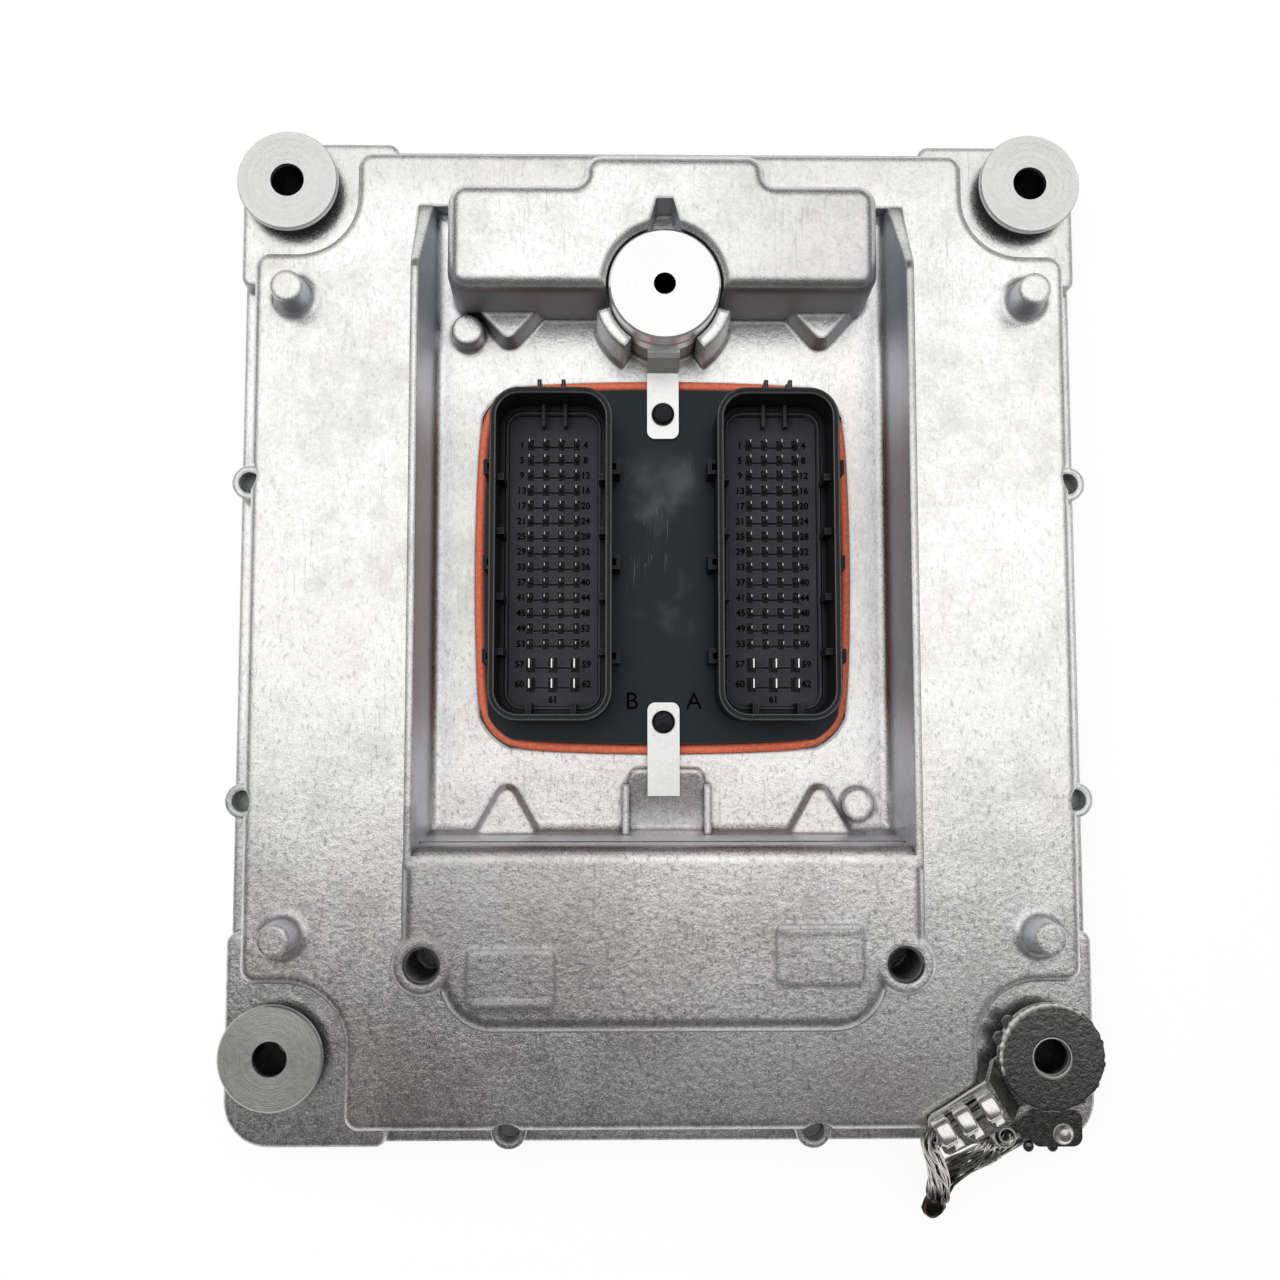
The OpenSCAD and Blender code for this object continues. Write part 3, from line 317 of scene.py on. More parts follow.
def build_scratch_group():
    """Thin scratches that run in three directions."""
    nodes, given, result = new_group("fine_scratches", {"Length": 0.02, "Amount": 0.5}, ("Mask",))
    masks = []
    for turn in (0.35, -0.8, 1.45):
        where = nodes.place((1, 0.035, 1), (0, 0, turn))
        lines = nodes.cloud(where, nodes.times(given["Length"], 0.05), 1.0, 0.5)
        hit = nodes.calc("LESS_THAN", nodes.size_of(nodes.calc("SUBTRACT", lines, 0.5)), 0.006)
        gate = nodes.between(nodes.cloud(nodes.place(turn=(0, 0, turn)), given["Length"], 1.0), 0.56, 0.62)
        masks.append(nodes.times(hit, gate))
    nodes.wire(nodes.calc("MULTIPLY", nodes.largest(*masks), given["Amount"], clamp=True), result["Mask"])


def build_corner_group():
    """Masks for painted shade in the corners, and for pale edges that are partly bare metal and partly painted
    highlight.
    """
    nodes, given, result = new_group("corners_and_edges", {"Reach": 0.004, "Edge": 0.0006}, ("Corner", "Edge"))
    corner = nodes.put("AmbientOcclusion", {"Distance": given["Reach"]}, samples=4)
    edge = nodes.put("AmbientOcclusion", {"Distance": given["Edge"]}, samples=3, inside=True)
    nodes.wire(nodes.between(corner.outputs["AO"], 0.2, 0.85, 1.0, 0.0, smooth=True), result["Corner"])
    nodes.wire(nodes.between(edge.outputs["AO"], 0.35, 0.85, 1.0, 0.0, smooth=True), result["Edge"])


def build_lathe_group():
    """Rings that a lathe leaves round a centre; Mirror repeats the centre on all four sides."""
    inputs = {"Centre X": 0.1, "Centre Y": 0.1, "Mirror": 1.0, "Pitch": 0.0006}
    nodes, given, result = new_group("lathe_rings", inputs, ("Mask", "Radius"))
    spot = nodes.axes(nodes.place())
    sides = []
    for axis in ("X", "Y"):
        folded = nodes.put("Mix", data_type="FLOAT")
        for index, value in ((0, given["Mirror"]), (2, spot[axis]), (3, nodes.size_of(spot[axis]))):
            nodes.wire(value, folded.inputs[index])
        sides.append(nodes.calc("POWER", nodes.calc("SUBTRACT", folded.outputs[0], given["Centre " + axis]), 2.0))
    radius = nodes.calc("SQRT", nodes.plus(*sides))
    row = nodes.put("CombineXYZ", {"X": nodes.calc("DIVIDE", radius, given["Pitch"])}).outputs[0]
    nodes.wire(nodes.between(nodes.cloud(row, 1.0, 3.0, 0.7), 0.3, 0.7), result["Mask"])
    nodes.wire(radius, result["Radius"])


# Finishes


def cast_aluminium():
    """Cast skin with painted light that makes it bright at the back and greyer at the front; its bumps are coarser at
    the front.
    """
    finish = bpy.context.scene.unit_casting
    light, grey = finish.light, finish.grey
    skin = Skin("cast_aluminium")
    between, cover, times = skin.between, skin.cover, skin.times
    grain = skin.group("fine_grain", Size=finish.grain)
    lumps = skin.group("fine_grain", Size=finish.mottle)
    patches = skin.group("cloudy_patches", Size=0.04)
    scratches = skin.group("fine_scratches", Length=0.03, Amount=0.4)
    corners = skin.group("corners_and_edges", Reach=0.003, Edge=0.0005)
    x, y, z = skin.axes(skin.place())
    facing = skin.axes(skin.put("NewGeometry").outputs["Normal"])
    upright = skin.size_of(facing["Z"])

    # Grain, lumps and patches; painted light towards the back and on the right of the front strip; a warm stain
    tone = skin.plus(times(patches["Tone"], 0.2), times(lumps["Tone"], 0.35), times(grain["Tone"], 0.45))
    skin.base = skin.blend(between(tone, 0.32, 0.64), grey, light)
    # Painted light: the skin is lightened from the front towards the back.
    cover(between(y, -0.105, -0.03, 0.0, 0.58), light)
    cover(between(patches["Tone"], 0.5, 0.08, 0.0, 0.34), grey)
    cover(between(patches["Tone"], 0.5, 0.9, 0.0, 0.4), light)
    # Painted light: the right end of the front strip is lightened.
    lit_front_right = times(between(x, 0.0, 0.06, 0.0, 0.6), between(y, -0.085, -0.1))
    cover(lit_front_right, light)
    cover(times(patches["Stain"], between(y, 0.04, -0.08, 0.06, 0.4)), finish.blush, "MULTIPLY")

    # Painted shade: the left of the raised front block, the recess floor, the right of the raised back block and the
    # back strip are darkened
    raised = skin.calc("GREATER_THAN", z, 0.045)
    front_block = times(raised, skin.calc("LESS_THAN", y, -0.05))
    cover(times(front_block, between(x, -0.06, 0.015, 0.5, 0.0, smooth=True)), shade(grey, 0.55))
    in_recess = times(between(z, 0.0320, 0.0325, 0.26, 0.0), skin.calc("LESS_THAN", skin.size_of(x), 0.066))
    recess_floor = times(in_recess, between(y, -0.04, -0.01), between(y, 0.045, 0.06, 1.0, 0.0))
    back_block = times(raised, between(y, 0.04, 0.06), between(x, -0.01, 0.04, 0.0, 0.28, smooth=True))
    back_strip = between(y, 0.106, 0.114, 0.0, 0.22)
    cover(skin.largest(recess_floor, back_block, back_strip), shade(grey, 0.55))

    # Flecks and scratches; painted light on steep walls; painted shade on faces turned to the front, in the bores and
    # in the corners; pale edges, partly wear and partly painted highlight
    flecks = skin.cloud(skin.place((1, 0.45, 1), (0, 0, 0.5)), 0.0009, 3.0, 0.6)
    cover(times(between(flecks, 0.56, 0.68), between(y, 0.02, -0.06, 0.22, 0.5)), shade(grey, 0.4))
    cover(scratches["Mask"], (0.40, 0.40, 0.40))
    # Painted light: steep walls get a cool pale grey.
    cover(between(upright, 0.1, 0.6, 0.6, 0.0), (0.82, 0.86, 0.92))
    # Painted shade: faces turned to the front are darkened.
    cover(between(facing["Y"], -0.5, -0.95, 0.0, 0.6), (0.2, 0.2, 0.205))
    # Painted shade: the bores of the two bosses are painted dark.
    away = (skin.calc("SUBTRACT", skin.size_of(x), BOSS_X * MM), skin.calc("SUBTRACT", y, BOSS_Y * MM))
    from_boss = skin.plus(*[skin.calc("POWER", side, 2.0) for side in away])
    cover(skin.calc("LESS_THAN", from_boss, ((BOSS_BORE + 0.25) * MM) ** 2), (0.1, 0.1, 0.1))
    # Painted shade in the corners, stronger on the low faces.
    cover(times(corners["Corner"], between(z, 0.0325, 0.0335, 0.85, 0.42)), finish.corner_shade)
    # Pale edges: partly wear, partly painted highlight.
    cover(times(corners["Edge"], 0.2), (0.94, 0.94, 0.93))

    rough = skin.plus(times(grain["Tone"], 0.08), 0.21, between(upright, 0.15, 0.75, 0.3, 0.0))
    skin.set(Metallic=1.0, Roughness=rough)
    height = skin.plus(lumps["Height"], times(grain["Height"], 0.4))
    height = times(height, between(y, -0.08, 0.01, 1.0, 0.65))
    return skin.finish(height, 0.0001, 0.9, 0.0016)


def metal(name, light, dark, rough, grain_size, patch=0.02, depth=0.00002, speckle=0.3, rings=None, hole=0.0,
          fade=None):
    """Metal with a grain, patches, painted shade in its corners, and pale edges that are partly wear and partly
    painted highlight.

    rings is the centre of lathe marks, hole the radius of a bore that is painted dark as painted shade, fade a
    painted shade that grows along an axis.
    """
    skin = Skin(name)
    cover, times = skin.cover, skin.times
    grain = skin.group("fine_grain", Size=grain_size)
    patches = skin.group("cloudy_patches", Size=patch)
    corners = skin.group("corners_and_edges", Reach=0.003, Edge=0.0004)
    skin.base = skin.blend(patches["Tone"], dark, light)
    cover(times(grain["Tone"], speckle), shade(dark, 0.6))
    height = grain["Height"]
    if rings:
        x, y, mirror = rings
        lathe = skin.group("lathe_rings", Centre_X=x, Centre_Y=y, Mirror=mirror, Pitch=0.0004)
        cover(times(lathe["Mask"], 0.22), shade(dark, 0.7))
        height = skin.plus(height, times(lathe["Mask"], 0.5))
    # Painted shade in the corners.
    cover(times(corners["Corner"], 0.7), shade(dark, 0.15))
    # Pale edges: partly wear, partly painted highlight.
    cover(times(corners["Edge"], 0.4), EDGE_WEAR_AND_HIGHLIGHT)
    # Painted shade that grows along an axis.
    if fade:
        axis, tint, start, end, amount = fade
        cover(skin.between(skin.axes(skin.place())[axis], start, end, 0.0, amount), tint)
    cover(speckle, skin.between(grain["Tone"], 0.0, 1.0, 0.4, 1.0), "MULTIPLY")
    # Painted shade: the bore is painted dark.
    if hole:
        cover(skin.calc("LESS_THAN", lathe["Radius"], hole), BORE_SHADE)
    skin.set(Metallic=1.0, Roughness=skin.plus(times(grain["Tone"], 0.12), rough))
    return skin.finish(height, depth, 0.5)


def moulded(name, colour, rough, grain_size, scuff=0.0, depth=0.00002, pale=PALE_WEAR_AND_SHEEN, gloss=0.3):
    """Moulded plastic or rubber with a fine skin, scuffs, painted shade in its corners and pale edges that are partly
    wear and partly painted highlight.
    """
    skin = Skin(name)
    cover, times = skin.cover, skin.times
    grain = skin.group("fine_grain", Size=grain_size)
    corners = skin.group("corners_and_edges", Reach=0.002, Edge=0.0004)
    skin.base = skin.blend(grain["Tone"], shade(colour, 0.75), shade(colour, 1.2))
    # Pale edges: partly wear, partly painted highlight.
    cover(times(corners["Edge"], 0.25), pale)
    if scuff:
        patches = skin.group("cloudy_patches", Size=0.012)
        scratches = skin.group("fine_scratches", Length=0.012, Amount=0.5)
        cover(times(patches["Stain"], scuff * 0.3), pale)
        cover(times(scratches["Mask"], scuff), pale)
    # Painted shade in the corners.
    cover(times(corners["Corner"], 0.6), shade(colour, 0.35))
    skin.set(Specular_IOR_Level=gloss, Roughness=skin.plus(times(grain["Tone"], 0.15), rough))
    return skin.finish(grain["Height"], depth, 0.6)


def header_plastic(finish):
    """Black shells, slots painted black as painted shade, and a dark grey plate that is scuffed in the middle."""
    skin = Skin("header_plastic")
    between, cover, times = skin.between, skin.cover, skin.times
    grain = skin.group("fine_grain", Size=0.0005)
    wear = skin.group("cloudy_patches", Size=0.015)
    scratches = skin.group("fine_scratches", Length=0.016, Amount=0.7)
    corners = skin.group("corners_and_edges", Reach=0.002, Edge=0.0004)
    x, y, z = skin.axes(skin.place())
    pale, plate = (0.12, 0.125, 0.13), finish.plate
    across = between(skin.size_of(x), 0.006, 0.012, 1.0, 0.0, smooth=True)
    length = between(skin.size_of(skin.calc("SUBTRACT", y, 0.016)), 0.016, 0.028, 1.0, 0.0, smooth=True)
    worn = times(across, length)
    top = skin.blend(grain["Tone"], shade(plate, 0.8), shade(plate, 1.25))
    top = skin.blend(times(worn, times(wear["Stain"], 0.45)), top, pale)
    top = skin.blend(times(worn, scratches["Mask"]), top, pale)
    # Everything off the plate's top takes the shell colour: the shells' own black, and a painted shade on the slot
    # floors below the plate.
    on_plate = times(skin.calc("GREATER_THAN", z, 0.0303), skin.calc("LESS_THAN", z, 0.0313))
    skin.base = skin.blend(on_plate, finish.shell, top)
    # Pale edges: partly wear, partly painted highlight.
    cover(times(corners["Edge"], 0.3), pale)
    # Painted shade in the corners.
    cover(times(corners["Corner"], 0.7), (0.003, 0.003, 0.003))
    skin.set(Specular_IOR_Level=0.2, Roughness=skin.plus(times(grain["Tone"], 0.15), 0.34))
    return skin.finish(grain["Height"], 0.00002, 0.6)


# Mesh helpers


def add_object(name, data):
    item = bpy.data.objects.new(name, data)
    bpy.context.scene.collection.objects.link(item)
    return item


def add_piece(name, shape, material, replaces=(), sharp=35.0):
    """Makes a shape in millimetres into a piece that rides on the unit."""
    mesh = bpy.data.meshes.new(name)
    mesh.from_pydata([Vector(v) * MM for v in shape.verts], [], shape.faces)
    mesh.update()
    mesh.shade_smooth()
    mesh.set_sharp_from_angle(angle=radians(sharp))
    piece = add_object(name, mesh)
    piece.data.materials.append(material)
    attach(piece, "root")
    if replaces:
        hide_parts(*replaces)
    return piece


def paint(material, *nodes):
    """Gives solids their finish."""
    for node in nodes:
        target = NODES[node]
        target.data.materials.clear()
        target.data.materials.append(material)


class Shape:
    """Collects the points and faces of one piece, in millimetres."""

    def __init__(self):
        self.verts = []
        self.faces = []

    def add(self, verts, faces):
        start = len(self.verts)
        self.verts += [tuple(v) for v in verts]
        self.faces += [tuple(i + start for i in f) for f in faces]
        return self

    def block(self, low, high, chamfer):
        """Box with a chamfer round its upper face."""
        (x0, y0, z0), (x1, y1, z1) = low, high
        levels = ((0.0, z0), (0.0, z1 - chamfer), (chamfer, z1))
        return self.loft([oblong(x0 + inset, y0 + inset, x1 - inset, y1 - inset, z) for inset, z in levels])

    def loft(self, rings, closed=False):
        """Skins a row of rings that have the same number of points."""
        n = len(rings[0])
        verts = [v for ring in rings for v in ring]
        faces = []
        steps = len(rings) if closed else len(rings) - 1
        for i in range(steps):
            a, b = i * n, ((i + 1) % len(rings)) * n
            faces += [(a + k, a + (k + 1) % n, b + (k + 1) % n, b + k) for k in range(n)]
        if not closed:
            faces.append(tuple(reversed(range(n))))
            faces.append(tuple(range(len(verts) - n, len(verts))))
        return self.add(verts, faces)

    def sheet(self, xs, ys, low, high, open_cells):
        """Flat sheet on a grid of lines, left open in the cells whose middles the test names."""
        filled = {(i, j) for i in range(len(xs) - 1) for j in range(len(ys) - 1)
                  if not open_cells((xs[i] + xs[i + 1]) / 2, (ys[j] + ys[j + 1]) / 2)}
        index, verts, faces = {}, [], []

        def corner(i, j, z):
            if (i, j, z) not in index:
                index[i, j, z] = len(verts)
                verts.append((xs[i], ys[j], z))
            return index[i, j, z]

        for i, j in sorted(filled):
            ring = ((i, j), (i + 1, j), (i + 1, j + 1), (i, j + 1))
            faces.append(tuple(corner(a, b, high) for a, b in ring))
            faces.append(tuple(corner(a, b, low) for a, b in reversed(ring)))
            for k, step in enumerate(((0, -1), (1, 0), (0, 1), (-1, 0))):
                if (i + step[0], j + step[1]) not in filled:
                    a, b = ring[k], ring[(k + 1) % 4]
                    faces.append((corner(*a, low), corner(*b, low), corner(*b, high), corner(*a, high)))
        return self.add(verts, faces)

    def tube(self, path, profile, closed=False):
        """Sweeps a flat profile along a path of points."""
        rings = []
        n = len(path)
        for i, point in enumerate(path):
            ahead = path[(i + 1) % n] if closed else path[min(i + 1, n - 1)]
            behind = path[i - 1] if closed else path[max(i - 1, 0)]
            way = (ahead - behind).normalized()
            side = way.cross(Vector((0, 0, 1)))
            side = side.normalized() if side.length > 1e-6 else Vector((1, 0, 0))
            top = side.cross(way)
            rings.append([point + side * u + top * v for u, v in profile])
        return self.loft(rings, closed)


def oblong(x0, y0, x1, y1, z):
    return [(x0, y0, z), (x1, y0, z), (x1, y1, z), (x0, y1, z)]


def circle(radius, sides):
    angles = [2 * pi * k / sides for k in range(sides)]
    return [(radius * cos(a), radius * sin(a)) for a in angles]


def ramp(value, start, length):
    """Rises from 0 to 1 over a length."""
    return min(max((value - start) / length, 0.0), 1.0)


def socket_rim(x, inset, z, steps=8):
    """Anticlockwise rim of a socket, moved inwards."""
    half_x, half_y, radius = SOCKET_HALF[0] - inset, SOCKET_HALF[1] - inset, SOCKET_CORNER - inset
    path = []
    for corner, (sx, sy) in enumerate(((1, 1), (-1, 1), (-1, -1), (1, -1))):
        for k in range(steps + 1):
            a = pi / 2 * (corner + k / steps)
            path.append(Vector((x + sx * (half_x - radius) + radius * cos(a),
                                SOCKET_Y + sy * (half_y - radius) + radius * sin(a), z)))
    return path


def smooth_path(points, steps):
    """Smooth curve through the points."""
    pts = [Vector(p) for p in points]
    pts = [pts[0] * 2 - pts[1]] + pts + [pts[-1] * 2 - pts[-2]]
    path = []
    for i in range(1, len(pts) - 2):
        a, b, c, d = pts[i - 1:i + 3]
        square, cube = 2 * a - 5 * b + 4 * c - d, 3 * b - a - 3 * c + d
        for k in range(steps):
            t = k / steps
            path.append(0.5 * (2 * b + (c - a) * t + square * t * t + cube * t ** 3))
    path.append(pts[-2])
    return path


def header_outline(offset, count=220):
    """Rim of the header plate, moved outwards: a rounded square with slightly bowed sides."""
    inner = HEADER_HALF - HEADER_CORNER

    def to_arc(way, centre, radius):
        """How far a ray from the middle goes until it leaves an arc."""
        b = way.dot(centre)
        return b + sqrt(max(0.0, b * b - centre.length_squared + radius * radius))

    rim = []
    for k in range(count):
        angle = 2 * pi * k / count
        d = Vector((cos(angle), sin(angle)))
        reach = []
        for axis in (0, 1):
            centre = Vector((0.0, 0.0))
            centre[axis] = copysign(HEADER_BOW - HEADER_HALF, -d[axis])
            reach.append(to_arc(d, centre, HEADER_BOW + offset))
        r = min(reach)
        if abs(d.x * r) > inner and abs(d.y * r) > inner:
            corner = Vector((copysign(inner, d.x), copysign(inner, d.y)))
            r = min(r, to_arc(d, corner, HEADER_CORNER + offset))
        rim.append(Vector((HEADER_X, HEADER_Y)) + d * r)
    for _ in range(12):
        rim = [(rim[k - 1] + 2 * rim[k] + rim[(k + 1) % count]) / 4 for k in range(count)]
    return rim


def lettering(items, height):
    """Raised letters: each item is (text, x, y, z, size) in millimetres."""
    shape = Shape()
    for text, x, y, z, size in items:
        curve = bpy.data.curves.new("lettering", "FONT")
        curve.body, curve.size, curve.extrude = text, size, height / 2
        curve.align_x = curve.align_y = "CENTER"
        curve.offset = 0.06 if size < 4 else 0.0
        curve.resolution_u = 3
        holder = add_object("lettering", curve)
        bpy.context.view_layer.update()
        mesh = bpy.data.meshes.new_from_object(holder.evaluated_get(bpy.context.evaluated_depsgraph_get()))
        move = Vector((x, y, z + height / 2))
        shape.add([v.co + move for v in mesh.vertices], [tuple(p.vertices) for p in mesh.polygons])
        bpy.data.objects.remove(holder)
        bpy.data.curves.remove(curve)
        bpy.data.meshes.remove(mesh)
    return shape


def row_y(k):
    """Place of a row of pins, counted from the back."""
    return ROW_Y + ((ROWS - 1) / 2 - k) * PITCH


def column_x(c):
    """Place of a column of pins, from the socket's middle."""
    return (c - (COLUMNS - 1) / 2) * PITCH


def on_tongue(along, aside, z):
    """Point over the strap's tongue, measured along it and aside from its middle."""
    point = STRAP_RING + STRAP_WAY * along + STRAP_ACROSS * aside
    point.z = z
    return point


# Operators


class UNIT_OT_stage(Operator):
    """Set up the camera, the floor, the lamps and the room."""

    bl_idname = "unit.stage"
    bl_label = "Stage"

    def execute(self, context):
        setup = context.scene.unit_stage
        data = bpy.data.cameras.new("camera")
        data.lens = setup.lens
        data.sensor_width = 36
        data.clip_start = 0.01
        camera = add_object("camera", data)
        turn = Euler(setup.camera_turn, "ZYX").to_matrix().to_4x4()
        camera.matrix_world = Matrix.Translation(setup.camera_place) @ turn
        context.scene.camera = camera
        context.scene.view_settings.view_transform = "Standard"
        self.lay_floor(setup)
        self.hang_lamps(setup)
        self.fill_room(context, setup)
        return {"FINISHED"}

    def lay_floor(self, setup):
        """White floor that keeps the unit's shadow close to it."""
        mesh = bpy.data.meshes.new("floor")
        side = 6.0
        mesh.from_pydata(oblong(-side, -side, side, side, 0), [], [(0, 1, 2, 3)])
        floor = add_object("floor", mesh)
        skin = Skin("floor")
        skin.set(Base_Color=setup.floor, Roughness=0.9, Specular_IOR_Level=0.1)
        spot = skin.axes(skin.place())
        away_x = skin.calc("SUBTRACT", skin.size_of(spot["X"]), 0.105)
        away_y = skin.calc("SUBTRACT", skin.size_of(skin.plus(spot["Y"], 0.006)), 0.125)
        open_floor = skin.between(skin.largest(away_x, away_y), 0.0, 0.006, 0.0, 0.9, smooth=True)
        rays = skin.put("LightPath").outputs
        seen = skin.largest(rays["Is Camera Ray"], rays["Is Glossy Ray"], rays["Is Transmission Ray"])
        glow = skin.put("Emission", {"Color": (1.0, 1.0, 1.0), "Strength": 1.0})
        mix = skin.put("MixShader", {"Fac": skin.times(seen, open_floor)})
        skin.wire(skin.shader.outputs[0], mix.inputs[1])
        skin.wire(glow.outputs[0], mix.inputs[2])
        skin.wire(mix.outputs[0], skin.tree.nodes["Material Output"].inputs["Surface"])
        mesh.materials.append(skin.material)

    def hang_lamps(self, setup):
        """Large panel overhead, and a soft lamp that shows in no gloss."""
        lamps = (("overhead_panel", (0.0, 0.421, 1.0), (2.0, 1.24), setup.panel_power, radians(-3), True),
                 ("soft_fill", (-0.25, 0.15, 1.1), (0.9, 0.9), setup.fill_power, 0.0, False))
        for name, place, size, power, turn, gloss in lamps:
            data = bpy.data.lights.new(name, "AREA")
            data.shape = "RECTANGLE"
            data.size, data.size_y = size
            data.energy = power
            lamp = add_object(name, data)
            lamp.location = place
            lamp.visible_glossy = gloss
            lamp.rotation_euler.z = turn

    def fill_room(self, context, setup):
        """Dim room whose walls are a little lighter near the floor; the camera sees it white."""
        world = bpy.data.worlds.new("room")
        context.scene.world = world
        world.use_nodes = True
        nodes = Nodes(world.node_tree)
        way = nodes.axes(nodes.put("TexCoord").outputs["Generated"])
        rise = nodes.between(way["Z"], 0.05, 0.5, 1.9, 0.75, smooth=True)
        seen = nodes.put("LightPath").outputs["Is Camera Ray"]
        backdrop = world.node_tree.nodes["Background"].inputs
        nodes.wire(nodes.plus(nodes.times(rise, setup.sky), seen), backdrop["Strength"])
        backdrop["Color"].default_value = (1, 1, 1, 1)


class UNIT_OT_casting(Operator):
    """Finish the cast housing and cut the threads in its bosses."""

    bl_idname = "unit.casting"
    bl_label = "Casting"

    def execute(self, context):
        paint(cast_aluminium(), "housing")
        pitch = context.scene.unit_casting.thread_pitch / MM
        shape = Shape()
        for x in (-BOSS_X, BOSS_X):
            self.thread(shape, x, pitch, turns=13)
        # Painted shade: the threads get a darker metal than the casting, so the bores look dark.
        dark = metal("shaded_thread_metal", (0.42, 0.42, 0.42), (0.2, 0.2, 0.2), 0.25, 0.0006, 0.004)
        add_piece("boss_threads", shape, dark)
        return {"FINISHED"}

    def thread(self, shape, x, pitch, turns, sides=36):
        profile = ((0.05, 0.48), (-0.5, 0.08), (-0.5, -0.08), (0.05, -0.48))
        rings = []
        for k in range(turns * sides + 1):
            angle = 2 * pi * k / sides
            c, s, z = cos(angle), sin(angle), BOSS_TOP - pitch * k / sides
            rings.append([(x + (BOSS_BORE + u) * c, BOSS_Y + (BOSS_BORE + u) * s, z + v * pitch) for u, v in profile])
        shape.loft(rings)


class UNIT_OT_cover(Operator):
    """Finish the base cover, its gasket and its screws."""

    bl_idname = "unit.cover"
    bl_label = "Cover"

    def execute(self, context):
        sheet = metal("sheet_aluminium", (0.74, 0.74, 0.74), (0.58, 0.58, 0.585), 0.33, 0.0006, 0.03)
        paint(sheet, "base_cover")
        paint(moulded("gasket_rubber", (0.02, 0.02, 0.021), 0.6, 0.0006), "cover_gasket")
        paint(metal("zinc_steel", (0.40, 0.41, 0.40), (0.24, 0.25, 0.25), 0.36, 0.0007, 0.012), "cover_screws")
        return {"FINISHED"}


class UNIT_OT_isolators(Operator):
    """Finish the four corner isolators."""

    bl_idname = "unit.isolators"
    bl_label = "Isolators"

    def execute(self, context):
        # Painted shade: the washers darken towards the front.
        zinc = metal("washer_zinc", (1.0, 1.0, 0.985), (0.95, 0.965, 0.945), 0.34, 0.0015, 0.012, 0.00016,
                     rings=(0.1, 0.1155, 1.0), fade=("Y", (0.62, 0.60, 0.58), 0.02, -0.11, 0.6))
        paint(zinc, "isolator_washers", "isolator_lower_washers")
        # Painted shade: the sleeves are near-black so the isolator holes look dark.
        paint(metal("shaded_sleeve_steel", (0.05, 0.05, 0.05), (0.02, 0.02, 0.02), 0.5, 0.0006), "isolator_sleeves")
        paint(moulded("bush_rubber", (0.018, 0.018, 0.019), 0.55, 0.0008, 0.2), "isolator_bushes")
        return {"FINISHED"}


class UNIT_OT_pillar(Operator):
    """Finish the centre pillar and the two clips."""

    bl_idname = "unit.pillar"
    bl_label = "Pillar and Clips"

    def execute(self, context):
        # Painted shade: the pillar's bore is painted dark.
        bright = metal("pillar_metal", (1.0, 1.0, 1.0), (0.985, 0.985, 0.98), 0.30, 0.0005, 0.01, 0.000006, 0.01,
                       rings=(0.0005, 0.0789, 0.0), hole=0.00276)
        paint(bright, "centre_pillar")
        clip = metal("clip_steel", (0.97, 0.965, 0.95), (0.90, 0.895, 0.88), 0.26, 0.0008, 0.006, 0.00001, 0.12)
        paint(clip, "upper_clip", "lower_clip")
        return {"FINISHED"}


